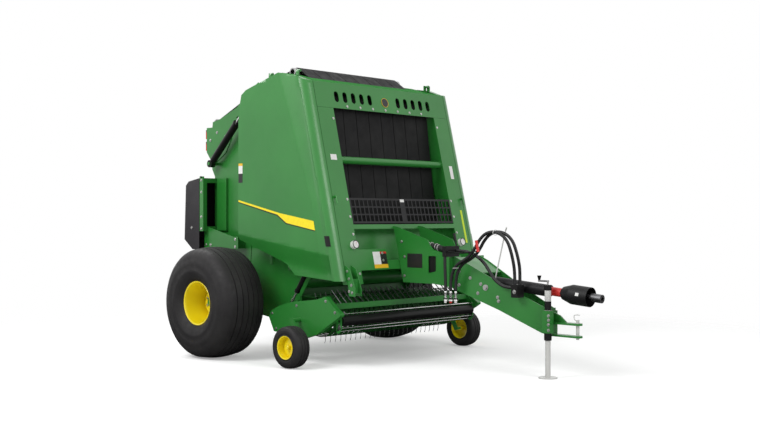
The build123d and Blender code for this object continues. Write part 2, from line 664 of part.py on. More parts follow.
def cylinder(base, tip, middle_y, side, size):
    """Barrel and rod between two (x, z) points; size holds its radii and its barrel's length."""
    barrel_r, rod_r, eye_r, pin_r, barrel_len, tip_pin = size
    length = hypot(tip[0] - base[0], tip[1] - base[1])
    ux, uz = (tip[0] - base[0]) / length, (tip[1] - base[1]) / length

    def at(s):
        return (base[0] + ux * s, side * middle_y, base[1] + uz * s)
    half = eye_r * 0.75
    base_y = span(side, middle_y - half, middle_y + half)
    frame = Plane(origin=at(0), z_dir=Vector(ux, 0, uz), x_dir=(0, 1, 0))
    neck, bore = eye_r + 20, barrel_r - 6
    end = barrel_len + 20
    steps = [(0, 0.6 * eye_r), (half, 0.6 * eye_r), (barrel_r, neck), (barrel_r, barrel_len),
             (barrel_r + 4, barrel_len), (barrel_r + 4, end), (rod_r + PIN_FIT, end),
             (rod_r + PIN_FIT, barrel_len), (bore, barrel_len), (bore, neck + 6), (0, neck + 6)]
    tube_face = make_face(Polyline(*[(r, 0, s) for r, s in steps], close=True))
    barrel = frame * revolve(tube_face, Axis.Z, 360) + cross_bar(*base, eye_r, *base_y)
    barrel -= cross_bar(*base, pin_r + PIN_FIT, *base_y)
    piston = (eye_r + 60, eye_r + 90)
    steps = [(0, piston[0]), (bore - PIN_FIT, piston[0]), (bore - PIN_FIT, piston[1]),
             (rod_r, piston[1]), (rod_r, length - 0.5 * eye_r), (0, length - 0.5 * eye_r)]
    rod_face = make_face(Polyline(*[(r, 0, s) for r, s in steps], close=True))
    rod = frame * revolve(rod_face, Axis.Z, 360) + cross_bar(*tip, eye_r, *base_y)
    rod += cross_bar(*tip, pin_r, *span(side, *tip_pin))
    return barrel, rod


GATE_CYL = (38, 20, 40, GATE_PIN_R, 600, (GATE_LUG[1] + ROD_END_GAP, CYL_Y + 42))
LEVER_Y = (905, 915)
LIFT_CYL = (24, 12, 22, LIFT_PIN_R, 330, (LEVER_Y[1] + ROD_END_GAP, LIFT_Y + 24))
LIFT_TIP = (764, 512)
for side, word in ((-1, "right"), (1, "left")):
    barrel, rod = cylinder(GATE_PIN, GATE_ANCHOR, CYL_Y, side, GATE_CYL)
    save(f"gate_cylinder_{word}", barrel)
    save(f"gate_rod_{word}", rod)
    barrel, rod = cylinder(LIFT_ANCHOR, LIFT_TIP, LIFT_Y, side, LIFT_CYL)
    save(f"lift_cylinder_{word}", barrel)
    save(f"lift_rod_{word}", rod)

# Side shields: pressed sheets that hinge up at their top inner edge

SHIELD_Y = 1090
SHIELD_T = 5
SHIELD_IN = POST_OUT + 5
SHIELD_CORNER = SHIELD_Y - SHIELD_IN
SHIELD_HINGE = (955, 2905)
KNUCKLES = (500, 920)
shield_outline = [
    (145, 1213), (145, 2430), (172, 2627), (193, 2706), (265, 2752), (425, 2794), (775, 2887),
    (910, 2865), (1084, 2805), (1155, 2787), (1700, 836), (1523, 836), (964, 873), (841, 981),
]


def shield_section(inset, depth):
    """The shield's section square to the front's lean, rounded where it meets the front."""
    r = SHIELD_CORNER - inset
    turn = r * sin(pi / 4)
    return Plane(origin=(FRONT_X, 0, 0), x_dir=(1, 0, LEAN), z_dir=(-LEAN, 0, 1)) * make_face([
        Line((-depth, SHIELD_IN), (-inset, SHIELD_IN)),
        ThreePointArc((-inset, SHIELD_IN), (-inset - r + turn, SHIELD_IN + turn),
                      (-inset - r, SHIELD_IN + r)),
        Line((-inset - r, SHIELD_IN + r), (-depth, SHIELD_IN + r)),
        Line((-depth, SHIELD_IN + r), (-depth, SHIELD_IN)),
    ])


def lean_up(section):
    """A section carried along the front's lean, from below the floor to above the roof."""
    return extrude(section, amount=3600, both=True)


def shield(side):
    """One side shield: its sheet, rounded front corner, roof edge and two hinge knuckles."""
    outer = lean_up(shield_section(0, 2200)) & slab(shield_outline, SHIELD_IN, SHIELD_Y)
    low = [(x + (30 if x < 300 else 0), z - SHIELD_T if z > 2600 else z - 400) for x, z in shield_outline]
    inner_outline = [(x - 60 if x < 200 else x, z) for x, z in low]
    inner = lean_up(shield_section(SHIELD_T, 2300)) & slab(inner_outline, SHIELD_IN - 5, SHIELD_Y)
    body = outer - inner
    for x in KNUCKLES:
        roof_z = 2887 - 0.266 * abs(775 - x) if x < 775 else 2862
        tab = block((x, x + 40), (SHIELD_IN, SHIELD_IN + 10), (roof_z - 8, SHIELD_HINGE[1]))
        tab += block((x, x + 40), (SHIELD_HINGE[0], SHIELD_IN + 10),
                     (SHIELD_HINGE[1] - 5, SHIELD_HINGE[1] + 5))
        ring = bar((x, *SHIELD_HINGE), (x + 40, *SHIELD_HINGE), 13)
        hole = bar((x, *SHIELD_HINGE), (x + 40, *SHIELD_HINGE), 8 + PIN_FIT)
        body = body + tab + ring - hole
    return body if side > 0 else mirror(body, Plane.XZ)


for side, word in ((-1, "right"), (1, "left")):
    save(f"shield_{word}", shield(side))


def shield_hinge(side):
    """Frame brackets with a pin for each of a shield's two hinge knuckles."""
    lugs = []
    for x in KNUCKLES:
        roof_z = SEAT + (2856 - 0.285 * (689 - x) if x < 685 else 2905 - 0.2538 * (x - 704))
        lug = block((x - 14, x - 4), (930, POST_OUT), (roof_z, SHIELD_HINGE[1] + 12))
        lug += bar((x - 14, *SHIELD_HINGE), (x + 40, *SHIELD_HINGE), 8)
        lugs.append(lug if side > 0 else mirror(lug, Plane.XZ))
    return lugs


save("side_walls", *walls)
save("shield_hinges", *shield_hinge(-1), *shield_hinge(1))

# Pickup: end boxes, cross tubes, strippers, wind guard and the tine reel

REEL = (1200, 470)
REEL_TIP_R = 268
REEL_BAR_R = 150
REEL_BARS = 5
TINE_ROW = 1750
TINE_PITCH = 70
TINES = int(TINE_ROW / TINE_PITCH)
TINE = 6
REEL_SHAFT_R = 22
BAND_R = 201
BAND_T = 3
BAND_W = 48
END_IN = 995
END_OUT = 1050
STRIP_HALF = TINES / 2 * TINE_PITCH + BAND_W / 2
REAR_TUBE = (850, 350)
REAR_TUBE_R = 38
STRIP_TOP = (905, 652)
STRIP_LOW = (905, 296)
ROLLER = (1550, 450)
ROLLER_R = 50
ROLLER_PIN_R = 12
GUARD_RODS = [(1550, 517), (1550, 383), (1528, 352)]
GUARD_BAR = (1478, 590)
GUARD_ARM_Y = (976, 984)
COMB_RODS = 24
COMB_PITCH = 76
end_outline = [
    (620, 504), (589, 442), (666, 300), (1130, 262), (1302, 312), (1649, 519), (1553, 579),
    (1429, 686), (1302, 650), (950, 610), (750, 560),
]


def end_box(side):
    """A pickup end: a closed sheet housing with the bearing hole of the reel."""
    y0, y1 = span(side, END_IN, END_OUT)
    box = slab(end_outline, y0, y1, radius=18)
    return box - cross_bar(*REEL, REEL_SHAFT_R + PIN_FIT, *span(side, END_IN, END_IN + 20))


def pickup_arm(side):
    """The arm to the frame's pivot pin, the lift lever and the upright of the stripper bar."""
    px, pz = PICKUP_PIVOT
    tx, tz = REAR_TUBE
    y0, y1 = span(side, WALL_OUT + 7, WALL_OUT + 19)
    tube_end = cross_bar(*REAR_TUBE, REAR_TUBE_R, *span(side, 0, END_IN))
    arm = slab([(px - 40, pz + 10), (px, pz + 45), (px + 42, pz + 14), (tx + 60, tz + 10),
                (tx + 20, tz - 45), (tx - 40, tz - 20)], y0, y1, radius=12)
    arm -= cross_bar(px, pz, PICKUP_PIN_R + PIN_FIT, y0, y1)
    lx, lz = LIFT_TIP
    lever = slab([(lx - 24, lz + 4), (lx + 4, lz + 26), (lx + 28, lz), (tx + 40, tz + 30),
                  (tx - 30, tz - 30)], *span(side, *LEVER_Y), radius=10)
    upright = slab([(STRIP_TOP[0] - 12, STRIP_TOP[1] - 8), (STRIP_TOP[0] + 12, STRIP_TOP[1] - 8),
                    (tx + 34, tz + 16), (tx, tz + 22)], *span(side, STRIP_HALF - 12, STRIP_HALF))
    return [arm - tube_end, lever - tube_end, upright - tube_end]


pickup = [end_box(-1), end_box(1), cross_bar(*REAR_TUBE, REAR_TUBE_R, -END_IN, END_IN)]
pickup += pickup_arm(-1) + pickup_arm(1)
for (x, z), half in ((STRIP_TOP, STRIP_HALF), (STRIP_LOW, END_IN)):
    pickup.append(block((x - 12, x + 12), (-half, half), (z - 8, z + 8)))
save("pickup_frame", *pickup)


def stripper_face(y):
    """The bent outline of one stripper band, from the lower bar round the reel to the upper."""
    x, z = REEL
    radii = (BAND_R, BAND_R - BAND_T)
    low, high = radians(-95), radians(118)
    edges = []
    ends = []
    for r in radii:
        start = (x + r * cos(low), y, z + r * sin(low))
        end = (x + r * cos(high), y, z + r * sin(high))
        middle = (low + high) / 2
        edges.append(ThreePointArc(start, (x + r * cos(middle), y, z + r * sin(middle)), end))
        ends.append((start, end))
    (s_out, e_out), (s_in, e_in) = ends
    low_out = (STRIP_LOW[0] + 12, y, STRIP_LOW[1] - 8)
    low_in = (STRIP_LOW[0] + 12, y, STRIP_LOW[1] - 8 + BAND_T)
    top_out = (STRIP_TOP[0] + 12, y, STRIP_TOP[1] + 8)
    top_in = (STRIP_TOP[0] + 12, y, STRIP_TOP[1] + 8 - BAND_T)
    edges += [Line(s_out, low_out), Line(low_out, low_in), Line(low_in, s_in)]
    edges += [Line(e_out, top_out), Line(top_out, top_in), Line(top_in, e_in)]
    return make_face(edges)


bands = []
for step in range(TINES + 1):
    y = (step - TINES / 2) * TINE_PITCH
    bands.append(extrude(stripper_face(y - BAND_W / 2), amount=BAND_W, dir=(0, 1, 0)))
save("strippers", *bands)

guard_bar = block((GUARD_BAR[0] - 8, GUARD_BAR[0] + 16), (-END_IN, END_IN),
                  (GUARD_BAR[1] - 30, GUARD_BAR[1] + 24))
windguard = [guard_bar]
arm_outline = [(1466, 606), (1500, 610), (1578, 520), (1582, 380), (1545, 332), (1512, 340),
               (1510, 500)]
for side in SIDES:
    arm = slab(arm_outline, *span(side, *GUARD_ARM_Y), radius=10)
    arm -= cross_bar(*ROLLER, ROLLER_PIN_R + PIN_FIT, *span(side, *GUARD_ARM_Y))
    windguard.append(arm - guard_bar)
for x, z in GUARD_RODS:
    windguard.append(cross_bar(x, z, 7, -GUARD_ARM_Y[0], GUARD_ARM_Y[0]))
COMB_FOOT = (GUARD_BAR[0] - 4, GUARD_BAR[1] + 10)
COMB_TIP = (1325, 735)
for step in range(COMB_RODS):
    y = (step - (COMB_RODS - 1) / 2) * COMB_PITCH
    along = Vector(COMB_TIP[0] - COMB_FOOT[0], 0, COMB_TIP[1] - COMB_FOOT[1])
    rod = Plane(origin=(COMB_FOOT[0], y, COMB_FOOT[1]), z_dir=along) * RegularPolygon(5, 8)
    windguard.append(extrude(rod, amount=along.length) - guard_bar)
save("windguard", *windguard)

guard_roller = cross_bar(*ROLLER, ROLLER_R, -GUARD_ARM_Y[0] + 8, GUARD_ARM_Y[0] - 8)
guard_roller += cross_bar(*ROLLER, ROLLER_PIN_R, -GUARD_ARM_Y[1], GUARD_ARM_Y[1])
save("windguard_roller", guard_roller)


def tine_bar(turn):
    """One bar of the reel with its row of tines, turned to its place about the reel's axis."""
    x, z = REEL
    row = cross_bar(x + REEL_BAR_R, z, 12, -868, 868)
    for step in range(TINES):
        y = (step - (TINES - 1) / 2) * TINE_PITCH
        row += block((x + REEL_BAR_R, x + REEL_TIP_R), (y - TINE / 2, y + TINE / 2), (z - 3, z + 3))
    return row.rotate(Axis((x, 0, z), (0, 1, 0)), turn)


reel = cross_bar(*REEL, REEL_SHAFT_R, -END_IN - 14, END_IN + 14)
for y in (-874, -300, 300, 868):
    reel += cross_bar(*REEL, REEL_BAR_R + 14, y, y + 6)
for step in range(REEL_BARS):
    reel += tine_bar(18 + step * 360 / REEL_BARS)
save("tine_reel", reel)

# Gauge wheels on bent arms outside the pickup ends

GAUGE_R = 203
GAUGE_W = 165
GAUGE = (1195, 1282)
GAUGE_RIM_R = 107
GAUGE_ARM_Y = (1150, 1165)
GAUGE_PIN_R = 12
ARM_TOP = (1060, 440)


def gauge_arm(side):
    """A cross tube from the pickup end, an arm plate and the axle stub of a gauge wheel."""
    x, y = GAUGE
    tube = cross_bar(*ARM_TOP, 22, *span(side, END_OUT, GAUGE_ARM_Y[0]))
    arm = slab([(ARM_TOP[0] - 30, ARM_TOP[1] + 20), (ARM_TOP[0] + 24, ARM_TOP[1] + 26),
                (x + 26, GAUGE_R - 8), (x - 20, GAUGE_R - 24)], *span(side, *GAUGE_ARM_Y), radius=10)
    stub = cross_bar(x, GAUGE_R, GAUGE_PIN_R, *span(side, GAUGE_ARM_Y[1], y + 40))
    return [tube, arm, stub]


def gauge_rim(side):
    """A small rim in one turned section: hub tube, dished disc and barrel."""
    x, y = GAUGE
    bore = GAUGE_PIN_R + PIN_FIT
    inner = GAUGE_RIM_R - 6
    section = [(bore, -60), (24, -60), (24, 14), (inner, -6), (inner, -75), (GAUGE_RIM_R, -75),
               (GAUGE_RIM_R, 75), (inner, 75), (inner, 2), (24, 22), (24, 56), (0, 56), (0, 48), (bore, 48)]
    return ring_of(section, x, GAUGE_R, side * y, side)


save("gauge_arms", *gauge_arm(-1), *gauge_arm(1))
for side, word in ((-1, "right"), (1, "left")):
    x, y = GAUGE
    save(f"gauge_tyre_{word}", tyre(x, GAUGE_R, side * y, GAUGE_R, GAUGE_W / 2, GAUGE_RIM_R, 70))
    save(f"gauge_rim_{word}", gauge_rim(side))

# Small front pieces: lift brackets under the posts, pressure gauges and shield latches

bracket_outline = [(front_x(985), 985), (1665, 950), (1740, 760), (1740, 695), (1655, 695),
                   (front_x(POST_FOOT), POST_FOOT)]


def lift_bracket(side):
    """Two plates and a front cross plate under a post."""
    low, high = (868, 950)
    plates = [slab(bracket_outline, *span(side, y, y + 8)) for y in (low, high)]
    return [*plates, block((1690, 1698), span(side, low + 8, high), (720, 860))]


save("lift_brackets", *lift_bracket(-1), *lift_bracket(1))

GAUGE_FACE = (800, 1175)
face_dir = Vector(1, 0, LEAN).normalized()


def dial(side):
    """A round gauge standing off the post's face."""
    y, z = GAUGE_FACE
    foot = Vector(front_x(z), side * y, z)
    return bar(tuple(foot), tuple(foot + face_dir * 40), 40)


save("gauges", *[dial(side) for side in SIDES])


def latch(side):
    """A shield latch: a block on the post with a short handle."""
    z = 1640
    foot = Vector(front_x(z), side * 945, z)
    grip = bar(tuple(foot), tuple(foot + face_dir * 34), 13)
    return grip + bar(tuple(foot + face_dir * 28), tuple(foot + face_dir * 28 + Vector(20, 0, -70)), 7)


save("latches", *[latch(side) for side in SIDES])

# Hose rack on the tongue: the valve block, the clamp, the parking holder, the guide rod, the lever

VALVE = ((1800, 1880), (-MOUNT_IN, -100), (1110, 1200))
CLAMP = ((MOUNT_FRONT, MOUNT_FRONT + 40), (-352, -150), (1070, 1170))
HOLDER = ((2996, 3064), (-200, -97), (712, 830))
rack = [block(*VALVE)]
clamp = block(*CLAMP) + bar((2325, -170, 1140), (2300, -170, 1285), 8)
rack.append(clamp + bar((2306, -170, 1225), (2292, -170, 1290), 14))
rack.append(block(*HOLDER) - tongue)
guide = bar((2760, -134.5, 861), (2895, -150, 1318), 6)
guide += bar((2895, -150, 1318), (2930, -178, 1352), 6)
rack.append(guide - tongue)
save("hose_rack", *rack)

# Hoses: free runs with large bends, each from its fitting to the next

HOSE_D = 30
TRUNK_D = 60
GRIP = CLAMP[0][1] + SEAT
PARK = HOLDER[2][1] + SEAT
HANG = 745
routes = {
    "hose_trunk": (TRUNK_D, [
        (VALVE[0][1] + SEAT, -135, 1165), (2010, -135, 1165), (2165, -180, 1128),
        (CLAMP[0][0] - SEAT, -180, 1128)]),
    "hose_low": (HOSE_D, [
        (GRIP, -190, 1125), (2440, -190, 1125), (2540, -190, 1100), (2625, -190, 1058),
        (2690, -190, 1005), (2735, -190, 945), (2785, -188, 877), (2854, -184, 825), (2930, -180, 800),
        (HOLDER[0][0] - SEAT, -180, 800)]),
    "hose_loop_a": (HOSE_D, [
        (3046, -132, PARK), (3046, -132, 905), (3054, -146, 985), (3052, -166, 1065),
        (3042, -186, 1145), (3019, -204, 1230), (2957, -218, 1292), (2872, -230, 1315),
        (2787, -240, 1292), (2725, -249, 1230), (2684, -256, 1158), (2636, -264, 1093),
        (2570, -272, 1047), (2495, -278, 1012), (2440, -282, 950), (2415, -284, 872),
        (2408, -284, 790), (2408, -284, HANG)]),
    "hose_loop_b": (HOSE_D, [
        (3018, -172, PARK), (3018, -172, 905), (3022, -186, 985), (3018, -204, 1065),
        (3008, -222, 1145), (2985, -240, 1230), (2923, -254, 1292), (2838, -266, 1315),
        (2753, -276, 1292), (2691, -285, 1230), (2650, -292, 1158), (2602, -300, 1093),
        (2538, -306, 1045), (2462, -311, 1010), (2406, -314, 949), (2380, -316, 871),
        (2373, -316, 790), (2373, -316, HANG)]),
    "hose_drop": (HOSE_D, [
        (2318, -335, CLAMP[2][0] - SEAT), (2318, -335, 990), (2320, -333, 905), (2322, -331, 822),
        (2322, -331, HANG)]),
}


def hose(diameter, route):
    """A round hose along straight runs joined by the largest tangent arcs that fit."""
    points = [Vector(*point) for point in route]
    radii = []
    for before, corner, after in zip(points, points[1:], points[2:]):
        turn = radians((corner - before).get_angle(after - corner))
        shorter = min((corner - before).length, (after - corner).length)
        radii.append(0.45 * shorter / tan(turn / 2))
    path = FilletPolyline(*route, radius=radii)
    section = Plane(origin=path @ 0, z_dir=path % 0) * Circle(diameter / 2)
    print(f"radii {min(radii):.0f} to {max(radii):.0f}, length {path.length:.0f}")
    return sweep(section, path=path)


for name, (diameter, route) in routes.items():
    save(name, hose(diameter, route))

# A coupler hangs from the end of each of the three hoses that reach down

COUPLER_R = 15
COUPLER_RING_R = 21
COUPLER_LENGTH = 110
couplers = []
for name in ("hose_loop_a", "hose_loop_b", "hose_drop"):
    x, y, z = routes[name][1][-1]
    top = z - SEAT
    coupler = bar((x, y, top), (x, y, top - COUPLER_LENGTH), COUPLER_R)
    couplers.append(coupler + bar((x, y, top - 60), (x, y, top - 92), COUPLER_RING_R))
save("couplers", *couplers)
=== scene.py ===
import bpy
import bmesh
import json
from math import cos, hypot, pi, radians, sin
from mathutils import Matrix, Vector

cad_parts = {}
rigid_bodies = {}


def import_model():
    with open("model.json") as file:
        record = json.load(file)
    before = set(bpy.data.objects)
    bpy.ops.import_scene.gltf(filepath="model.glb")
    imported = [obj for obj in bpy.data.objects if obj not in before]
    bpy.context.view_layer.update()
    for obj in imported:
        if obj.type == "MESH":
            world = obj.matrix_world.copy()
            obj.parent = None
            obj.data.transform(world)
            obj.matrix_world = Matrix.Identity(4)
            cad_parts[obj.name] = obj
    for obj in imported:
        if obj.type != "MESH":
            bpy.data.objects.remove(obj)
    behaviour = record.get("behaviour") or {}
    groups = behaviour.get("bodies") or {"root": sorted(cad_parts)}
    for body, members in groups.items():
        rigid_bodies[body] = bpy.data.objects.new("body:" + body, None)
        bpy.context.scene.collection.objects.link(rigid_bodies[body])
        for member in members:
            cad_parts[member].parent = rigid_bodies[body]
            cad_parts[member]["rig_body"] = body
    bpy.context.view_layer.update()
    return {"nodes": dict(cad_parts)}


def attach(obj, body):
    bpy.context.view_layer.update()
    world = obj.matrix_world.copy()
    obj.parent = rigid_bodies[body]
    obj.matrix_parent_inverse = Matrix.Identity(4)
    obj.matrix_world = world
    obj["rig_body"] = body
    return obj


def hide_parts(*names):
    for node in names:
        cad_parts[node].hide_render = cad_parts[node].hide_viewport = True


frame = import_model()
scene = bpy.context.scene
scene.view_settings.view_transform = "Standard"

# The camera stands in front of the machine's right corner, at a person's eye height, and looks
# level along the hood's corner. Places are counted forward from the main axle, as on the machine,
# and the frame's own origin lies 1.4575 m ahead of it.
frame_ahead = 1.4575


def spot(x, y, z):
    return Vector((x - frame_ahead, y, z))


camera_data = bpy.data.cameras.new("camera")
camera_data.sensor_width = 36.0
camera_data.lens = 51.46
camera_data.clip_end = 100.0
camera = bpy.data.objects.new("camera", camera_data)
scene.collection.objects.link(camera)
camera.location = spot(9.056, -8.127, 1.441)
camera.rotation_euler = Vector((-0.698, 0.716, 0.0033)).to_track_quat("-Z", "Y").to_euler()
scene.camera = camera
both_sides = ((-1, "right"), (1, "left"))


def new_finish(name):
    """An empty material and the parts of its node tree that every finish needs."""
    finish = bpy.data.materials.new(name)
    finish.use_nodes = True
    tree = finish.node_tree
    place = tree.nodes.new("ShaderNodeTexCoord")
    return finish, tree, place.outputs["Object"], tree.nodes["Principled BSDF"]


def noise(tree, place, scale, detail):
    grain = tree.nodes.new("ShaderNodeTexNoise")
    grain.inputs["Scale"].default_value = scale
    grain.inputs["Detail"].default_value = detail
    tree.links.new(place, grain.inputs["Vector"])
    return grain.outputs["Fac"]


def spread(tree, value, low, high):
    """A texture's middle values carried over to another range."""
    scaled = tree.nodes.new("ShaderNodeMapRange")
    scaled.inputs["From Min"].default_value = 0.3
    scaled.inputs["From Max"].default_value = 0.7
    scaled.inputs["To Min"].default_value = low
    scaled.inputs["To Max"].default_value = high
    tree.links.new(value, scaled.inputs["Value"])
    return scaled.outputs["Result"]


def blend_colours(tree, value, first, second):
    mixed = tree.nodes.new("ShaderNodeMix")
    mixed.data_type = "RGBA"
    mixed.inputs["A"].default_value = (*first, 1.0)
    mixed.inputs["B"].default_value = (*second, 1.0)
    tree.links.new(value, mixed.inputs["Factor"])
    return mixed.outputs["Result"]


def raise_surface(tree, value, shader, height, strength):
    relief = tree.nodes.new("ShaderNodeBump")
    relief.inputs["Distance"].default_value = height
    relief.inputs["Strength"].default_value = strength
    tree.links.new(value, relief.inputs["Height"])
    tree.links.new(relief.outputs["Normal"], shader.inputs["Normal"])


# The stage: a white floor that fades out to a white surround, so that only the machine's soft
# shadow shows, with large soft lamps above and beside it.


def stage_floor():
    finish = bpy.data.materials.new("studio_floor")
    finish.use_nodes = True
    tree = finish.node_tree
    tree.nodes.clear()
    output = tree.nodes.new("ShaderNodeOutputMaterial")
    matte = tree.nodes.new("ShaderNodeBsdfDiffuse")
    glow = tree.nodes.new("ShaderNodeEmission")
    glow.inputs["Color"].default_value = (1.0, 1.0, 1.0, 1.0)
    glow.inputs["Strength"].default_value = 0.30
    rays = tree.nodes.new("ShaderNodeLightPath")
    tone = blend_colours(tree, rays.outputs["Is Glossy Ray"], (0.86, 0.86, 0.86), (0.05, 0.05, 0.05))
    tree.links.new(tone, matte.inputs["Color"])
    dark = tree.nodes.new("ShaderNodeEmission")
    dark.inputs["Strength"].default_value = 0.0
    lift = tree.nodes.new("ShaderNodeMixShader")
    tree.links.new(rays.outputs["Is Camera Ray"], lift.inputs[0])
    tree.links.new(dark.outputs[0], lift.inputs[1])
    tree.links.new(glow.outputs[0], lift.inputs[2])
    lit = tree.nodes.new("ShaderNodeAddShader")
    tree.links.new(matte.outputs[0], lit.inputs[0])
    tree.links.new(lift.outputs[0], lit.inputs[1])
    place = tree.nodes.new("ShaderNodeTexCoord")
    away = tree.nodes.new("ShaderNodeVectorMath")
    away.operation = "LENGTH"
    tree.links.new(place.outputs["Object"], away.inputs[0])
    fade = tree.nodes.new("ShaderNodeMapRange")
    fade.interpolation_type = "SMOOTHSTEP"
    fade.inputs["From Min"].default_value = 3.4
    fade.inputs["From Max"].default_value = 6.5
    tree.links.new(away.outputs["Value"], fade.inputs["Value"])
    direct = tree.nodes.new("ShaderNodeMath")
    direct.operation = "SUBTRACT"
    direct.use_clamp = True
    tree.links.new(fade.outputs["Result"], direct.inputs[0])
    tree.links.new(rays.outputs["Is Glossy Ray"], direct.inputs[1])
    clear = tree.nodes.new("ShaderNodeBsdfTransparent")
    whole = tree.nodes.new("ShaderNodeMixShader")
    tree.links.new(direct.outputs[0], whole.inputs[0])
    tree.links.new(lit.outputs[0], whole.inputs[1])
    tree.links.new(clear.outputs[0], whole.inputs[2])
    tree.links.new(whole.outputs[0], output.inputs["Surface"])
    return finish


floor_mesh = bpy.data.meshes.new("studio_floor")
floor_half = 14.0
floor_mesh.from_pydata([(-floor_half, -floor_half, 0), (floor_half, -floor_half, 0),
                        (floor_half, floor_half, 0), (-floor_half, floor_half, 0)], [], [(0, 1, 2, 3)])
floor = bpy.data.objects.new("studio_floor", floor_mesh)
floor_mesh.materials.append(stage_floor())
scene.collection.objects.link(floor)

world = bpy.data.worlds.new("surround")
scene.world = world
world.use_nodes = True
sky = world.node_tree
surround = sky.nodes["Background"]
surround.inputs["Color"].default_value = (1.0, 1.0, 1.0, 1.0)
surround_rays = sky.nodes.new("ShaderNodeLightPath")
camera_or_glossy = sky.nodes.new("ShaderNodeMath")
camera_or_glossy.operation = "MAXIMUM"
sky.links.new(surround_rays.outputs["Is Camera Ray"], camera_or_glossy.inputs[0])
sky.links.new(surround_rays.outputs["Is Glossy Ray"], camera_or_glossy.inputs[1])
ambient = sky.nodes.new("ShaderNodeMapRange")
ambient.inputs["To Min"].default_value = 0.55
ambient.inputs["To Max"].default_value = 1.0
sky.links.new(camera_or_glossy.outputs[0], ambient.inputs["Value"])
sky.links.new(ambient.outputs["Result"], surround.inputs["Strength"])


def soft_lamp(name, place, target, width, power):
    data = bpy.data.lights.new(name, "AREA")
    data.shape = "DISK"
    data.size = width
    data.energy = power
    lamp = bpy.data.objects.new(name, data)
    scene.collection.objects.link(lamp)
    lamp.location = place
    lamp.rotation_euler = (Vector(target) - Vector(place)).to_track_quat("-Z", "Y").to_euler()


soft_lamp("key_lamp", (-1.0, -7.5, 6.5), (-0.6, 0.0, 1.2), 4.0, 420)
soft_lamp("front_lamp", (8.5, -1.0, 5.5), (0.3, 0.0, 1.2), 4.5, 260)
soft_lamp("rear_lamp", (-6.5, -0.5, 7.0), (0.0, 0.0, 1.2), 4.0, 220)

# Green enamel: all the sheet metal is painted in one glossy green, with the slight ripple that
# sprayed paint has and a little drift of tone from panel to panel.
GREEN = (0.020, 0.200, 0.026)
GREEN_DEEP = (0.014, 0.165, 0.020)


def enamel(name, colour, deep, roughness, coat=0.35, sheen=0.5):
    finish, tree, place, shader = new_finish(name)
    drift = spread(tree, noise(tree, place, 1.6, 4.0), 0.0, 1.0)
    tree.links.new(blend_colours(tree, drift, colour, deep), shader.inputs["Base Color"])
    haze = spread(tree, noise(tree, place, 9.0, 6.0), roughness - 0.05, roughness + 0.07)
    tree.links.new(haze, shader.inputs["Roughness"])
    raise_surface(tree, noise(tree, place, 130.0, 2.0), shader, 0.0006, 0.25)
    shader.inputs["Coat Weight"].default_value = coat
    shader.inputs["Coat Roughness"].default_value = 0.22
    shader.inputs["Specular IOR Level"].default_value = sheen
    return finish


green = enamel("green_enamel", GREEN, GREEN_DEEP, 0.38)
# A darker, duller copy of the green enamel, as painted shade for the strippers, which stand in shade under
# the machine.
painted_shade_green = enamel("shaded_green_enamel", (0.008, 0.075, 0.010), (0.005, 0.055, 0.007), 0.5, 0.0, 0.2)


def add_piece(name, mesh, body):
    piece = bpy.data.objects.new(name, mesh)
    scene.collection.objects.link(piece)
    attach(piece, body)
    return piece


def smooth(mesh, sharp_degrees=None):
    """Shade a mesh smoothly, but for its edges sharper than an angle if one is given."""
    for face in mesh.polygons:
        face.use_smooth = True
    if sharp_degrees:
        mesh.set_sharp_from_angle(angle=radians(sharp_degrees))


def new_mesh(name, corners, faces, finish):
    """A mesh with its seams merged and its faces turned outward."""
    mesh = bpy.data.meshes.new(name)
    mesh.from_pydata(corners, [], faces)
    form = bmesh.new()
    form.from_mesh(mesh)
    bmesh.ops.remove_doubles(form, verts=form.verts, dist=0.00001)
    bmesh.ops.recalc_face_normals(form, faces=form.faces)
    form.to_mesh(mesh)
    form.free()
    mesh.materials.append(finish)
    return mesh


def as_mesh(source):
    """What an object looks like once its modifiers or its curve are worked out, as a plain mesh."""
    bpy.context.view_layer.update()
    return bpy.data.meshes.new_from_object(source.evaluated_get(bpy.context.evaluated_depsgraph_get()))


def copied_skin(node, flat_degrees):
    """A copy of a sub-part's mesh, open for editing, with its doubles and flat edges taken out."""
    mesh = frame["nodes"][node].data.copy()
    mesh.name = node + "_skin"
    form = bmesh.new()
    form.from_mesh(mesh)
    bmesh.ops.remove_doubles(form, verts=form.verts, dist=0.00002)
    bmesh.ops.dissolve_limit(form, angle_limit=radians(flat_degrees), verts=form.verts, edges=form.edges)
    return mesh, form


def close_skin(mesh, form, finish):
    form.to_mesh(mesh)
    form.free()
    mesh.materials.clear()
    mesh.materials.append(finish)


def rounded(node, width, segments, finish):
    """A copy of a sub-part with its sharp edges rounded."""
    mesh, form = copied_skin(node, 2.0)
    close_skin(mesh, form, finish)
    smooth(mesh)
    piece = add_piece(mesh.name, mesh, frame["nodes"][node]["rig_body"])
    edge = piece.modifiers.new("edge", "BEVEL")
    edge.width = width
    edge.segments = segments
    edge.limit_method = "ANGLE"
    edge.angle_limit = radians(28.0)
    edge.harden_normals = True
    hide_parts(node)


def dress(finish, *names):
    """Give carried-over sub-parts their finish."""
    for name in names:
        mesh = frame["nodes"][name].data
        mesh.materials.clear()
        mesh.materials.append(finish)


def dress_parts(node, finishes, choose):
    """Give the parts of one sub-part their finishes; choose takes a place and returns a number."""
    mesh = frame["nodes"][node].data
    mesh.materials.clear()
    for finish in finishes:
        mesh.materials.append(finish)
    for face in mesh.polygons:
        x, y, z = face.center
        face.material_index = choose(x + frame_ahead, y, z)


dress(green, "side_walls", "front_frame", "shield_hinges", "axle", "floor_rollers", "tongue",
      "tongue_mount", "gearbox", "clevis", "gate_walls", "gate_frame", "lamp_brackets", "shield_left",
      "shield_right", "pickup_frame", "gauge_arms", "lift_brackets")
# The strippers take the darker green as painted shade.
dress(painted_shade_green, "strippers")

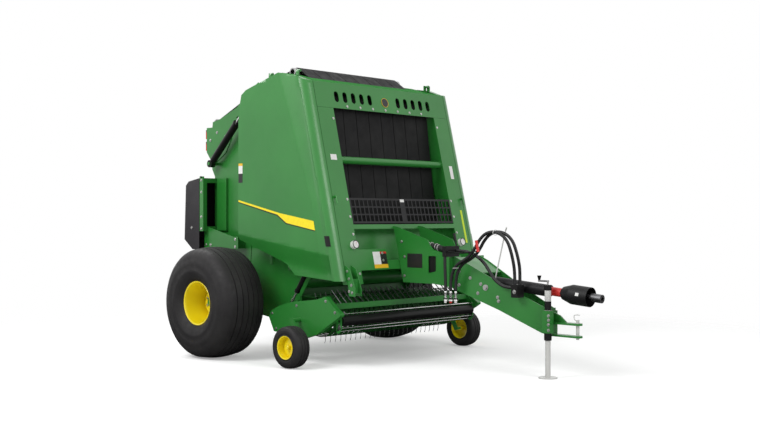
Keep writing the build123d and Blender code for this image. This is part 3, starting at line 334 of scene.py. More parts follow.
# Bolts: zinc-plated hexagon heads on plain washers hold the bolted panels and brackets. One tree
# sets a head on every seat, square to the outward direction that the seat carries.


def steel(name, colour, roughness):
    finish, tree, place, shader = new_finish(name)
    drift = spread(tree, noise(tree, place, 14.0, 5.0), 0.0, 1.0)
    worn = tuple(value * 0.72 for value in colour)
    tree.links.new(blend_colours(tree, drift, colour, worn), shader.inputs["Base Color"])
    tree.links.new(spread(tree, noise(tree, place, 40.0, 4.0), roughness - 0.06, roughness + 0.1),
                   shader.inputs["Roughness"])
    shader.inputs["Metallic"].default_value = 1.0
    raise_surface(tree, noise(tree, place, 320.0, 2.0), shader, 0.0003, 0.3)
    return finish


zinc = steel("zinc_plate", (0.62, 0.62, 0.60), 0.34)


def new_tree(name, inputs, output):
    """A geometry tree with its inputs and its one output, ready to be filled."""
    tree = bpy.data.node_groups.new(name, "GeometryNodeTree")
    for word, kind in inputs:
        tree.interface.new_socket(word, in_out="INPUT", socket_type="NodeSocket" + kind)
    tree.interface.new_socket(output, in_out="OUTPUT", socket_type="NodeSocketGeometry")
    return tree, tree.nodes.new("NodeGroupInput").outputs, tree.nodes.new("NodeGroupOutput").inputs


def set_copies(tree, given, made, piece, rotation):
    """Set a piece on every seat, turned as the seat says, and give the whole its finish."""
    copies = tree.nodes.new("GeometryNodeInstanceOnPoints")
    real = tree.nodes.new("GeometryNodeRealizeInstances")
    finish = tree.nodes.new("GeometryNodeSetMaterial")
    tree.links.new(given["Seats"], copies.inputs["Points"])
    tree.links.new(piece, copies.inputs["Instance"])
    tree.links.new(rotation, copies.inputs["Rotation"])
    tree.links.new(copies.outputs[0], real.inputs[0])
    tree.links.new(real.outputs[0], finish.inputs["Geometry"])
    tree.links.new(given["Finish"], finish.inputs["Material"])
    tree.links.new(finish.outputs[0], made[0])


def named_value(tree, name):
    """A direction or a rotation that the seats carry under a name."""
    value = tree.nodes.new("GeometryNodeInputNamedAttribute")
    value.data_type = "FLOAT_VECTOR"
    value.inputs["Name"].default_value = name
    return value.outputs["Attribute"]


def times(tree, value, factor):
    product = tree.nodes.new("ShaderNodeMath")
    product.operation = "MULTIPLY"
    product.inputs[1].default_value = factor
    tree.links.new(value, product.inputs[0])
    return product.outputs[0]


def bolt_tree():
    tree, given, made = new_tree("bolt_heads", (
        ("Seats", "Geometry"), ("Head radius", "Float"), ("Head height", "Float"),
        ("Washer radius", "Float"), ("Finish", "Material")), "Bolts")
    joined = tree.nodes.new("GeometryNodeJoinGeometry")
    for sides, radius, share in ((6, "Head radius", 1.0), (14, "Washer radius", 0.28)):
        disc = tree.nodes.new("GeometryNodeMeshCylinder")
        disc.inputs["Vertices"].default_value = sides
        height = times(tree, given["Head height"], share)
        tree.links.new(given[radius], disc.inputs["Radius"])
        tree.links.new(height, disc.inputs["Depth"])
        lift = tree.nodes.new("ShaderNodeCombineXYZ")
        tree.links.new(times(tree, height, 0.5), lift.inputs["Z"])
        moved = tree.nodes.new("GeometryNodeTransform")
        tree.links.new(disc.outputs["Mesh"], moved.inputs["Geometry"])
        tree.links.new(lift.outputs[0], moved.inputs["Translation"])
        tree.links.new(moved.outputs[0], joined.inputs[0])
    turn = tree.nodes.new("FunctionNodeAlignRotationToVector")
    turn.axis = "Z"
    tree.links.new(named_value(tree, "outward"), turn.inputs["Vector"])
    set_copies(tree, given, made, joined.outputs[0], turn.outputs["Rotation"])
    return tree


def run_tree(tree, name, body, mesh, values):
    """Run a tree on a mesh with its inputs set, and keep what it makes as a plain piece."""
    piece = bpy.data.objects.new(name, mesh)
    scene.collection.objects.link(piece)
    step = piece.modifiers.new("make", "NODES")
    step.node_group = tree
    for item in tree.interface.items_tree:
        if item.in_out == "INPUT" and item.name in values:
            step[item.identifier] = values[item.name]
    whole = as_mesh(piece)
    piece.modifiers.clear()
    piece.data = whole
    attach(piece, body)
    return piece


def seat_mesh(name, seats):
    """Points with the direction that each one faces."""
    mesh = bpy.data.meshes.new(name)
    mesh.from_pydata([tuple(place) for place, facing in seats], [], [])
    outward = mesh.attributes.new("outward", "FLOAT_VECTOR", "POINT")
    for cell, (place, facing) in zip(outward.data, seats):
        cell.vector = facing
    return mesh


hexagon_heads = bolt_tree()


def bolts(name, body, seats, head):
    return run_tree(hexagon_heads, name, body, seat_mesh(name, seats), {
        "Head radius": head, "Head height": head * 0.75, "Washer radius": head * 1.5, "Finish": zinc})


# Front frame and hood: folded sheet bolted round the window that shows the belts. The front leans
# back a quarter of a metre for each metre of height.
front_foot = 1.8405
front_lean = 0.246
front_normal = Vector((1.0, 0.0, front_lean)).normalized()


def on_front(y, z, off=0.0):
    return spot(front_foot - front_lean * z, y, z) + front_normal * off


dull_green = enamel("dull_green_enamel", GREEN, GREEN_DEEP, 0.7, 0.0, 0.05)
dress_parts("hood", (green, dull_green), lambda x, y, z: 1 if z > 2.792 else 0)
window_bolts = [(on_front(-0.552 + 0.184 * step, 2.555), front_normal) for step in range(7)]
for side in (-1, 1):
    for z in (0.90, 1.28, 1.45, 1.62, 2.42):
        window_bolts.append((on_front(side * 0.775, z), front_normal))
    for z in (1.02, 1.09):
        window_bolts.append((on_front(side * 0.42, z), front_normal))
bolts("window_bolts", "chassis", window_bolts, 0.009)

# Belts: flat woven rubber, dull black, with a fine ribbed face and a slight shine where the
# rollers have polished it. The rollers under them are turned steel tubes.


def belt_rubber():
    finish, tree, place, shader = new_finish("belt_rubber")
    drift = spread(tree, noise(tree, place, 3.5, 5.0), 0.0, 1.0)
    tree.links.new(blend_colours(tree, drift, (0.0055, 0.0055, 0.006), (0.010, 0.010, 0.010)),
                   shader.inputs["Base Color"])
    ribs = tree.nodes.new("ShaderNodeTexWave")
    ribs.wave_type = "BANDS"
    ribs.bands_direction = "Z"
    ribs.inputs["Scale"].default_value = 55.0
    ribs.inputs["Distortion"].default_value = 0.6
    tree.links.new(place, ribs.inputs["Vector"])
    raise_surface(tree, ribs.outputs["Fac"], shader, 0.001, 0.35)
    tree.links.new(spread(tree, noise(tree, place, 11.0, 4.0), 0.42, 0.62), shader.inputs["Roughness"])
    shader.inputs["Specular IOR Level"].default_value = 0.15
    return finish


dress(belt_rubber(), "front_belts", "rear_belts")
bright_steel = steel("turned_steel", (0.55, 0.55, 0.55), 0.3)
dress(bright_steel, "front_rollers", "gate_rollers")

# Grille: a pressed sheet guard with rows of slots below the belts, in dark grey powder coat that
# shines less than the enamel round it.
grey_coat = enamel("grey_powder_coat", (0.020, 0.020, 0.021), (0.015, 0.015, 0.016), 0.5, 0.0, 0.25)
dress(grey_coat, "grille")

# Main tyres: low wide flotation tyres of ribbed rubber. The crown has five running grooves and
# the side wall has moulded rings down to the bead.


def tyre_rubber():
    finish, tree, place, shader = new_finish("tyre_rubber")
    drift = spread(tree, noise(tree, place, 5.0, 6.0), 0.0, 1.0)
    tree.links.new(blend_colours(tree, drift, (0.013, 0.012, 0.013), (0.021, 0.020, 0.020)),
                   shader.inputs["Base Color"])
    tree.links.new(spread(tree, noise(tree, place, 24.0, 5.0), 0.5, 0.68), shader.inputs["Roughness"])
    raise_surface(tree, noise(tree, place, 210.0, 3.0), shader, 0.0008, 0.35)
    shader.inputs["Specular IOR Level"].default_value = 0.25
    return finish


rubber = tyre_rubber()


def swept(name, profile, steps, closed, finish, sharp_degrees, seat):
    """A profile taken round an axle; seat places a point from its turn, radius and way along."""
    corners = [seat(2 * pi * step / steps, radius, along)
               for step in range(steps) for radius, along in profile]
    count = len(profile)
    faces = []
    for step in range(steps):
        follow = (step + 1) % steps
        for index in range(count if closed else count - 1):
            after = (index + 1) % count
            faces.append((step * count + index, step * count + after,
                          follow * count + after, follow * count + index))
    mesh = new_mesh(name, corners, faces, finish)
    smooth(mesh, sharp_degrees)
    return mesh


def turned(name, profile, centre, side, finish, body, stands_for=(), steps=96, closed=True):
    """A piece turned about an axle along Y; its profile is (radius, distance outward) points."""
    def seat(turn, radius, outward):
        return (centre[0] + radius * sin(turn), centre[1] + side * outward, centre[2] + radius * cos(turn))

    piece = add_piece(name, swept(name, profile, steps, closed, finish, 38.0, seat), body)
    if stands_for:
        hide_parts(*stands_for)


def tyre_profile(outer, half, bead, bead_half, grooves, groove_half, groove_deep):
    """Half the section of a tyre, from the bead over the side wall to the crown, then mirrored."""
    crown_half = 0.62 * half
    drop = 0.055 * (outer - bead)
    wall = [(bead, bead_half - 0.012), (bead, bead_half), (bead + 0.006, bead_half + 0.012)]
    wall += [(bead + 0.16 * (outer - bead), 0.93 * half), (bead + 0.30 * (outer - bead), 0.985 * half)]
    for at_share, ring in ((0.36, 0.9965), (0.372, 0.988), (0.50, 1.0), (0.60, 0.993), (0.612, 0.984),
                           (0.72, 0.95), (0.80, 0.90), (0.87, 0.83), (0.92, 0.75), (0.945, 0.68)):
        wall.append((bead + at_share * (outer - bead), ring * half))
    crown = []
    marks = sorted(grooves, reverse=True)

    def crown_radius(y):
        return outer - drop * (y / crown_half) ** 2

    for y in marks:
        crown.append((crown_radius(y + groove_half * 1.5), y + groove_half * 1.5))
        crown.append((crown_radius(y) - groove_deep, y + groove_half * 0.7))
        crown.append((crown_radius(y) - groove_deep, y - groove_half * 0.7))
        crown.append((crown_radius(y - groove_half * 1.5), y - groove_half * 1.5))
    near = wall + [point for point in crown if point[1] > 0]
    if 0 in grooves:
        near = [point for point in near if point[1] > groove_half]
        near += [(crown_radius(0), groove_half * 1.5), (crown_radius(0) - groove_deep, groove_half * 0.7)]
    far = [(radius, -y) for radius, y in reversed(near)]
    return near + far


main_wheel_y = 1.290
main_wheel_radius = 0.570
main_tyre = tyre_profile(main_wheel_radius, 0.273, 0.211, 0.200, (0.132, 0.066, 0.0, -0.066, -0.132),
                         0.0045, 0.011)
for side, word in both_sides:
    turned(f"tyre_{word}_tread", main_tyre, spot(0, side * main_wheel_y, main_wheel_radius), side, rubber,
           f"wheel_{word}", (f"tyre_{word}",), 128)

# Main rims: deep dished steel wheels in yellow enamel, each with a green hub and a circle of eight
# wheel bolts.
YELLOW = (0.84, 0.68, 0.006)
YELLOW_DEEP = (0.74, 0.57, 0.005)
yellow = enamel("yellow_enamel", YELLOW, YELLOW_DEEP, 0.34)
wheel_bolts = 8
bolt_circle = 0.094
dish_face = 0.0202
rim_profile = [(0.222, 0.221), (0.226, 0.218), (0.226, 0.213), (0.215, 0.205), (0.211, 0.15), (0.200, 0.12),
               (0.200, -0.12), (0.211, -0.15), (0.215, -0.205), (0.226, -0.213), (0.226, -0.218),
               (0.222, -0.221), (0.211, -0.216), (0.203, -0.20), (0.201, -0.14), (0.190, -0.11),
               (0.190, -0.085), (0.172, -0.055), (0.145, -0.018), (0.125, 0.002), (0.118, 0.010),
               (0.066, 0.010), (0.066, 0.020), (0.122, 0.020), (0.132, 0.012), (0.150, -0.008),
               (0.178, -0.045), (0.190, -0.060), (0.190, 0.11), (0.201, 0.14), (0.203, 0.20),
               (0.211, 0.216)]
hub_profile = [(0.0, 0.062), (0.030, 0.062), (0.036, 0.057), (0.038, 0.040), (0.060, 0.036), (0.066, 0.030),
               (0.066, -0.110), (0.0352, -0.110), (0.0352, 0.054), (0.0, 0.054)]
for side, word in both_sides:
    centre = spot(0, side * main_wheel_y, main_wheel_radius)
    turned(f"rim_{word}_dish", rim_profile, centre, side, yellow, f"wheel_{word}", (f"rim_{word}",))
    turned(f"rim_{word}_hub", hub_profile, centre, side, green, f"wheel_{word}", (), 48, False)
    seats = []
    for step in range(wheel_bolts):
        turn = 2 * pi * (step + 0.5) / wheel_bolts
        seat = Vector((bolt_circle * sin(turn), side * dish_face, bolt_circle * cos(turn)))
        seats.append((centre + seat, (0, side, 0)))
    bolts(f"rim_{word}_bolts", f"wheel_{word}", seats, 0.011)

# Gauge wheels: small ribbed tyres on yellow rims, free to turn on the stubs of the bent arms.
gauge_wheel_y = 1.282
gauge_wheel_radius = 0.203
gauge_tyre = tyre_profile(gauge_wheel_radius, 0.0825, 0.110, 0.071, (0.034, 0.0, -0.034), 0.003, 0.005)
gauge_rim = [(0.112, 0.078), (0.116, 0.076), (0.116, 0.073), (0.109, 0.070), (0.106, 0.050),
             (0.106, -0.050), (0.109, -0.070), (0.116, -0.073), (0.116, -0.076), (0.112, -0.078),
             (0.104, -0.075), (0.101, -0.050), (0.101, -0.004), (0.082, 0.008), (0.060, 0.013),
             (0.024, 0.014), (0.024, -0.060), (0.0121, -0.060), (0.0121, 0.048), (0.0, 0.048),
             (0.0, 0.056), (0.018, 0.056), (0.024, 0.050), (0.024, 0.022), (0.060, 0.021), (0.084, 0.016),
             (0.101, 0.006), (0.101, 0.050), (0.104, 0.075)]
for side, word in both_sides:
    centre = spot(1.195, side * gauge_wheel_y, gauge_wheel_radius)
    turned(f"gauge_tyre_{word}_tread", gauge_tyre, centre, side, rubber, f"gauge_wheel_{word}",
           (f"gauge_tyre_{word}",), 96)
    turned(f"gauge_rim_{word}_dish", gauge_rim, centre, side, yellow, f"gauge_wheel_{word}",
           (f"gauge_rim_{word}",), 48)

# Side shields: large pressed doors in green enamel. Each has a raised pane, a turned-under lower
# edge and a rounded front corner, and hangs from two knuckles at its top inner edge.
shield_face = 1.090
pane_front = ((0.853, 2.706), (1.262, 1.611), (1.335, 1.312))
pane_low = ((0.145, 1.265), (1.205, 1.118), (1.335, 1.312))
pane_margin = 0.30
front_slope, front_depth = 0.24, 0.045
low_slope, low_depth = 0.36, 0.06
fold_half = 0.004
grid_step = 0.04
grid_rear, grid_columns = 0.16, 40
grid_low, grid_rows = 0.84, 52


def beside(x, z, start, end):
    """How far a point lies in front of or below a line, square to it."""
    run = hypot(end[0] - start[0], end[1] - start[1])
    return ((x - start[0]) * (start[1] - end[1]) + (z - start[1]) * (end[0] - start[0])) / run


def pressed_in(x, z):
    """How far the shield's outside lies in from its pane at a place on its side."""
    front = max(0.0, min(beside(x, z, *pane_front[:2]), pane_margin))
    if z < pane_front[1][1]:
        front = max(0.0, beside(x, z, *pane_front[1:]))
    low = max(0.0, -beside(x, z, *pane_low[:2]))
    return min(front_slope * front, front_depth) + min(low_slope * low, low_depth)


def shield_skin(side, word):
    mesh, form = copied_skin(f"shield_{word}", 1.0)

    def cut(place, across):
        whole = form.verts[:] + form.edges[:] + form.faces[:]
        bmesh.ops.bisect_plane(form, geom=whole, dist=0.00001, plane_co=place, plane_no=across)

    for (xa, za), (xb, zb) in (pane_front[:2], pane_front[1:], pane_low[:2], pane_low[1:]):
        along = Vector((xb - xa, 0, zb - za)).normalized()
        across = Vector((along.z, 0, -along.x))
        for shift in (-fold_half, fold_half):
            cut(spot(xa, 0, za) + across * shift, across)
    for step in range(grid_columns):
        cut(spot(grid_rear + grid_step * step, 0, 0), (1, 0, 0))
    for step in range(grid_rows):
        cut(spot(0, 0, grid_low + grid_step * step), (0, 0, 1))
    for vertex in form.verts:
        x, y, z = vertex.co.x + frame_ahead, abs(vertex.co.y), vertex.co.z
        if y > shield_face - 0.012 and z < 2.9:
            vertex.co.y -= side * pressed_in(x, z)
    bmesh.ops.triangulate(form, faces=form.faces)
    close_skin(mesh, form, green)
    smooth(mesh, 30.0)
    piece = add_piece(mesh.name, mesh, f"side_door_{word}")
    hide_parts(f"shield_{word}")


for side, word in both_sides:
    shield_skin(side, word)

# Stripe and plates: bare film. A yellow stripe widens along each shield, with a dark green strip of
# painted shadow under it, and small plates in plain colours sit on the shields, the posts and the panel.


def film(name, colour, roughness=0.35):
    finish, tree, place, shader = new_finish(name)
    drift = spread(tree, noise(tree, place, 30.0, 3.0), 0.0, 1.0)
    faded = tuple(value * 0.9 for value in colour)
    tree.links.new(blend_colours(tree, drift, colour, faded), shader.inputs["Base Color"])
    shader.inputs["Roughness"].default_value = roughness
    raise_surface(tree, noise(tree, place, 260.0, 2.0), shader, 0.0002, 0.2)
    return finish


yellow_film = film("yellow_film", (0.93, 0.74, 0.01))
shadow_film = film("shadow_film", (0.006, 0.030, 0.008))
white_film = film("white_film", (0.78, 0.78, 0.76))
amber_film = film("amber_film", (0.80, 0.48, 0.02))
red_film = film("red_film", (0.55, 0.02, 0.015))
charcoal_film = film("charcoal_film", (0.012, 0.012, 0.013))
lime_film = film("lime_film", (0.55, 0.72, 0.02))
film_gap = 0.0006
film_thickness = 0.0008


def flat_film(name, outline, lift, finish, body="chassis"):
    """A thin plate whose outline is points in space, in order, raised off what it lies on."""
    raised = [point + lift for point in outline]
    count = len(outline)
    faces = [tuple(range(count, 2 * count)), tuple(reversed(range(count)))]
    for index in range(count):
        after = (index + 1) % count
        faces.append((index, after, count + after, count + index))
    add_piece(name, new_mesh(name, [tuple(point) for point in outline + raised], faces, finish), body)


def corners_of(left, right, low, high):
    return (left, low), (right, low), (right, high), (left, high)


def on_shield(side, x, z):
    return spot(x, side * (shield_face - pressed_in(x, z) + film_gap), z)


for side, word in both_sides:
    body = f"side_door_{word}"
    out = Vector((0, side * film_thickness, 0))
    stripe = [(0.150, 1.622), (0.800, 1.486), (1.303, 1.408), (1.324, 1.318), (0.905, 1.388),
              (0.770, 1.470), (0.150, 1.604)]
    flat_film(f"stripe_{word}", [on_shield(side, x, z) for x, z in stripe], out, yellow_film, body)
    # The dark green strip under the stripe is painted shadow.
    edge = [(0.150, 1.604), (0.770, 1.470), (0.905, 1.388), (1.324, 1.318), (1.326, 1.308), (0.900, 1.376),
            (0.762, 1.458), (0.150, 1.594)]
    flat_film(f"stripe_edge_{word}", [on_shield(side, x, z) for x, z in edge], out, shadow_film, body)
    for low, high, finish in ((1.895, 1.975, white_film), (1.975, 2.0, amber_film),
                              (1.80, 1.895, charcoal_film)):
        plate = [on_shield(side, x, z) for x, z in corners_of(0.150, 0.215, low, high)]
        flat_film(f"rear_plate_{word}_{int(low * 1000)}", plate, out, finish, body)


def front_plate(name, y, z, finish, off=film_gap):
    outline = [on_front(across, up, off) for across, up in corners_of(*y, *z)]
    flat_film(name, outline, front_normal * film_thickness, finish)


front_plate("panel_sign_white", (-0.555, -0.455), (0.982, 1.105), white_film)
front_plate("panel_sign_dark", (-0.455, -0.365), (0.982, 1.085), charcoal_film)
front_plate("panel_sign_red", (-0.455, -0.365), (1.085, 1.105), red_film)
front_plate("panel_sign_amber", (-0.555, -0.365), (0.945, 0.982), amber_film)
front_plate("post_plate_white", (-0.90, -0.82), (2.005, 2.060), white_film)
front_plate("grille_plate", (-0.03, 0.03), (1.598, 1.626), white_film, 0.0014)
front_plate("post_reflector", (0.895, 0.925), (1.17, 1.52), lime_film)
front_plate("post_plate_left", (0.85, 0.90), (1.86, 2.00), white_film)

# Tongue: welded plate on a bolted mount. The bolts that hold the mount to the tongue show as a
# row of plated heads, with one large one, and a dark blank plaque is riveted to the mount.


tongue_start = 2.400
tongue_length = 0.900
tongue_half_wide = 0.183
tongue_half_narrow = 0.050


def on_tongue(x, z):
    """A place on the outside of the right tongue plate."""
    closing = (tongue_half_wide - tongue_half_narrow) / tongue_length
    return spot(x, -(tongue_half_wide - (x - tongue_start) * closing + 0.0081), z)


tongue_out = Vector((0.146, -1.0, 0.0)).normalized()
bolts("tongue_bolts", "chassis", [(on_tongue(x, z), tongue_out) for x, z in (
    (2.496, 0.870), (2.611, 0.817), (2.375, 0.93), (2.375, 0.80), (2.58, 0.73), (2.79, 0.70),
    (2.80, 0.665))], 0.011)
bolts("tongue_pin_head", "chassis", [(on_tongue(2.662, 0.786), tongue_out)], 0.019)
bolts("mount_bolts", "chassis", [(spot(x, -0.1912, z), (0, -1, 0)) for x, z in (
    (2.26, 1.03), (2.26, 0.90), (2.26, 0.80), (1.62, 1.20), (1.66, 0.86), (1.66, 1.05))], 0.011)
plaque = [spot(x, -0.1914, z) for x, z in corners_of(1.70, 1.90, 0.945, 1.085)]
flat_film("mount_plaque", plaque, Vector((0, -0.0015, 0)), charcoal_film)
bolts("hitch_bolts", "chassis",
      [(spot(3.362, -0.1322, z), (0, -1, 0)) for z in (0.434, 0.483, 0.524, 0.564)], 0.010)

# Drive shaft: a splined steel shaft in a black plastic guard, with a bell over its front joint and
# a red safety tube behind it. A small white label, left bare, lies on the bell.
guard_plastic = enamel("guard_plastic", (0.010, 0.010, 0.011), (0.007, 0.007, 0.007), 0.45, 0.0, 0.25)
dress_parts("pto_guard", (guard_plastic, red_film), lambda x, y, z: 1 if 3.30 < x < 3.41 else 0)
dark_steel = steel("dark_steel", (0.16, 0.16, 0.165), 0.42)
dress(dark_steel, "pto_shaft")
along_shaft = Vector((1300, 0, -108)).normalized()
label_out = Vector((0, -0.978, 0.208))
label_up = along_shaft.cross(label_out)
label_seat = spot(3.630, 0, 0.7478) + label_out * 0.0882
label = [label_seat + along_shaft * a + label_up * b for a, b in corners_of(-0.017, 0.017, -0.014, 0.014)]
flat_film("bell_label", label, label_out * 0.0015, white_film)

# Jack: a screw jack in a black tube with a light grey collar, a light grey leg on a round foot and a
# cranked handle with a cone-shaped grip.
plated = steel("bright_plating", (0.80, 0.80, 0.79), 0.16)
black_coat = enamel("black_coat", (0.008, 0.008, 0.008), (0.005, 0.005, 0.005), 0.4, 0.0, 0.25)
bright_paint = enamel("light_grey_paint", (0.62, 0.62, 0.60), (0.54, 0.54, 0.52), 0.4)
dress_parts("jack_tube", (black_coat, bright_paint), lambda x, y, z: 1 if 0.612 < z < 0.785 else 0)
dress_parts("jack_crank", (black_coat, plated), lambda x, y, z: 1 if z < 0.872 else 0)
dress(bright_paint, "jack_leg")
dress(plated, "gate_rod_left", "gate_rod_right", "lift_rod_left", "lift_rod_right")
dress(black_coat, "gate_cylinder_left", "gate_cylinder_right", "lift_cylinder_left", "lift_cylinder_right")
dress(green, "latches")


def rod_along(name, points, radius, finish, sides=8):
    """A round bar or tube bent through a list of points."""
    line = bpy.data.curves.new(name, "CURVE")
    line.dimensions = "3D"
    spline = line.splines.new("POLY")
    spline.points.add(len(points) - 1)
    for cell, point in zip(spline.points, points):
        cell.co = (*point, 1.0)
    line.bevel_depth = radius
    line.bevel_resolution = max(1, sides // 4)
    line.use_fill_caps = True
    bare = bpy.data.objects.new(name + "_line", line)
    scene.collection.objects.link(bare)
    mesh = as_mesh(bare)
    bpy.data.objects.remove(bare)
    mesh.materials.clear()
    mesh.materials.append(finish)
    add_piece(name, mesh, "chassis")


def hoop(centre, across, up, steps):
    """The points of a closed round line, from its centre to its two half axes."""
    turns = [2 * pi * step / steps for step in range(steps + 1)]
    return [centre + across * cos(turn) + up * sin(turn) for turn in turns]


def upright(name, profile, place, finish):
    """A piece turned about an upright axle; its profile is (radius, height) points from the top down."""
    def seat(turn, radius, height):
        return place[0] + radius * sin(turn), place[1] + radius * cos(turn), place[2] + height

    return add_piece(name, swept(name, profile, 24, False, finish, 35.0, seat), "chassis")


upright("jack_band", [(0.029, 0.690), (0.0305, 0.690), (0.0305, 0.612), (0.029, 0.612)],
        spot(3.330, -0.096, 0), black_coat)

# Mount window: a black sheet stands behind the hole in the tongue mount's plate as painted shade, so
# that the hole shows black and not the far side of the mount.
control_box = [spot(x, -0.130, z) for x, z in corners_of(1.965, 2.092, 0.905, 1.062)]
flat_film("control_box", control_box, Vector((0, -0.045, 0)), black_coat)

# Round seat: a plain dark disc sits between the hood's slots, level with them, and a thin amber rim
# runs round it.
across_front = Vector((0, 1, 0))
up_front = Vector((-front_lean, 0, 1)).normalized()
seat_radius = 0.048
seat_ring = hoop(on_front(0.009, 2.635, 0.001), across_front * seat_radius, up_front * seat_radius, 36)
seat_lift = front_normal * 0.003
flat_film("badge_seat", seat_ring[:-1], seat_lift, charcoal_film)
rod_along("badge_rim", [point + seat_lift for point in seat_ring], 0.0022, amber_film)

# Corner grommets: a black rubber grommet lies in the rounded front corner of each shield and rides
# on its door.
corner_radius = 0.1215
for side, word in both_sides:
    grommet = []
    for angle, z in ((48, 1.165), (60, 1.165), (72, 1.165), (72, 1.265), (60, 1.265), (48, 1.265)):
        turn = radians(angle)
        x = front_foot - front_lean * z - 0.120 + corner_radius * cos(turn)
        grommet.append(spot(x, side * (0.970 + corner_radius * sin(turn)), z))
    out = Vector((cos(radians(60)), side * sin(radians(60)), 0))
    flat_film(f"corner_grommet_{word}", grommet, out * 0.002, black_coat, f"side_door_{word}")

# Bolted brackets: plated heads on the lift brackets, the gate's lamp plates, the low panel of the
# gate, the pickup ends and the holder on the tongue.
for side, word in both_sides:
    out = (0, side, 0)
    bolts(f"lift_bracket_bolts_{word}", "chassis", [(spot(x, side * 0.9582, z), out) for x, z in (
        (1.630, 0.930), (1.655, 0.860), (1.690, 0.800), (1.700, 0.730), (1.660, 0.740))], 0.010)
    bolts(f"lamp_plate_bolts_{word}", "tailgate", [(spot(x, side * 0.7972, z), out) for x, z in (
        (-0.650, 2.110), (-0.560, 2.160), (-0.600, 2.380), (-0.450, 2.330), (-0.720, 2.300))], 0.011)
    bolts(f"gate_panel_bolts_{word}", "tailgate", [(spot(x, side * 0.9302, z), out) for x, z in (
        (-0.620, 1.145), (-0.540, 1.145), (-0.110, 1.130), (-0.110, 1.210))], 0.011)
    bolts(f"pickup_end_bolts_{word}", "pickup", [(spot(x, side * 1.0502, z), out) for x, z in (
        (0.640, 0.480), (0.700, 0.330), (1.000, 0.300), (1.560, 0.540), (1.430, 0.640),
        (1.010, 0.575))], 0.010)
    bolts(f"net_post_bolts_{word}", "tailgate", [(spot(-0.613, side * 1.0002, z), out) for z in (
        1.320, 1.450, 1.720, 1.850)], 0.010)
    bolts(f"net_lid_bolt_{word}", "net_box_lid", [(spot(-0.790, side * 1.0002, 1.330), out)], 0.010)
bolts("holder_bolt", "chassis", [(spot(3.034, -0.2002, 0.765), (0, -1, 0))], 0.013)

# Hitch pin: a light grey pin drops through both ears of the clevis. Its head rests on the upper ear
# and carries a bow handle of thin bar.
upright("hitch_pin", [(0.0, 0.532), (0.015, 0.532), (0.0152, 0.505), (0.024, 0.504), (0.024, 0.5015),
                      (0.0155, 0.5012), (0.0155, 0.365), (0.012, 0.355), (0.0, 0.355)],
        spot(3.583, 0, 0), bright_paint)
rod_along("hitch_pin_bow", [spot(3.583 + x, 0, z) for x, z in (
    (0.0, 0.526), (-0.030, 0.530), (-0.040, 0.550), (-0.036, 0.572), (0.0, 0.578), (0.020, 0.575))],
    0.004, bright_paint)

# The hydraulic hoses: rubber hose in a woven black sleeve. A thick bundle comes from the valve block
# to the clamp on the tongue mount, one hose runs on from there to the holder on the tongue, and two
# stand up from the holder in a loop and come down again to the couplers that hang behind the tongue.
hose_width = 0.030
trunk_width = 0.060
hose_routes = {
    "hose_trunk": (trunk_width, [
        (1880.3, -135, 1165), (2010, -135, 1165), (2165, -180, 1128), (2299.7, -180, 1128)]),
    "hose_low": (hose_width, [
        (2340.3, -190, 1125), (2440, -190, 1125), (2540, -190, 1100), (2625, -190, 1058),
        (2690, -190, 1005), (2735, -190, 945), (2785, -188, 877), (2854, -184, 825), (2930, -180, 800),
        (2995.7, -180, 800)]),
    "hose_loop_a": (hose_width, [
        (3046, -132, 830.3), (3046, -132, 905), (3054, -146, 985), (3052, -166, 1065),
        (3042, -186, 1145), (3019, -204, 1230), (2957, -218, 1292), (2872, -230, 1315),
        (2787, -240, 1292), (2725, -249, 1230), (2684, -256, 1158), (2636, -264, 1093),
        (2570, -272, 1047), (2495, -278, 1012), (2440, -282, 950), (2415, -284, 872),
        (2408, -284, 790), (2408, -284, 745)]),
    "hose_loop_b": (hose_width, [
        (3018, -172, 830.3), (3018, -172, 905), (3022, -186, 985), (3018, -204, 1065),
        (3008, -222, 1145), (2985, -240, 1230), (2923, -254, 1292), (2838, -266, 1315),
        (2753, -276, 1292), (2691, -285, 1230), (2650, -292, 1158), (2602, -300, 1093),
        (2538, -306, 1045), (2462, -311, 1010), (2406, -314, 949), (2380, -316, 871),
        (2373, -316, 790), (2373, -316, 745)]),
    "hose_drop": (hose_width, [
        (2318, -335, 1069.7), (2318, -335, 990), (2320, -333, 905), (2322, -331, 822),
        (2322, -331, 745)]),
}


def in_metres(x, y, z):
    return spot(x / 1000, y / 1000, z / 1000)


def hose_sleeve():
    """Black woven sleeve: a fine diagonal weave over dull rubber."""
    finish, tree, place, shader = new_finish("hose_sleeve")
    weave = tree.nodes.new("ShaderNodeTexVoronoi")
    weave.inputs["Scale"].default_value = 260.0
    tree.links.new(place, weave.inputs["Vector"])
    tone = blend_colours(tree, weave.outputs["Distance"], (0.004, 0.004, 0.0045), (0.013, 0.013, 0.0135))
    tree.links.new(tone, shader.inputs["Base Color"])
    shader.inputs["Roughness"].default_value = 0.55
    raise_surface(tree, weave.outputs["Distance"], shader, 0.0012, 0.6)
    return finish


# Couplers: a plated steel body on the end of each hanging hose, with a thicker ring at its middle
# and a coloured dust cap.
cap_films = {"hose_loop_a": white_film, "hose_loop_b": red_film, "hose_drop": white_film}
coupler_profile = [(0.0, 0.0), (0.013, 0.0), (0.015, -0.003), (0.015, -0.016), (0.0125, -0.018),
                   (0.0125, -0.056), (0.021, -0.060), (0.021, -0.066), (0.0195, -0.069), (0.0195, -0.083),
                   (0.021, -0.086), (0.021, -0.092), (0.014, -0.094), (0.014, -0.104), (0.011, -0.110),
                   (0.0, -0.110)]
for name, cap in cap_films.items():
    end = in_metres(*hose_routes[name][1][-1])
    body = upright(name + "_coupler", coupler_profile, end - Vector((0, 0, 0.0003)), plated)
    body.data.materials.append(cap)
    for face in body.data.polygons:
        face.material_index = 1 if face.center.z < end.z - 0.094 else 0
    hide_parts("couplers")

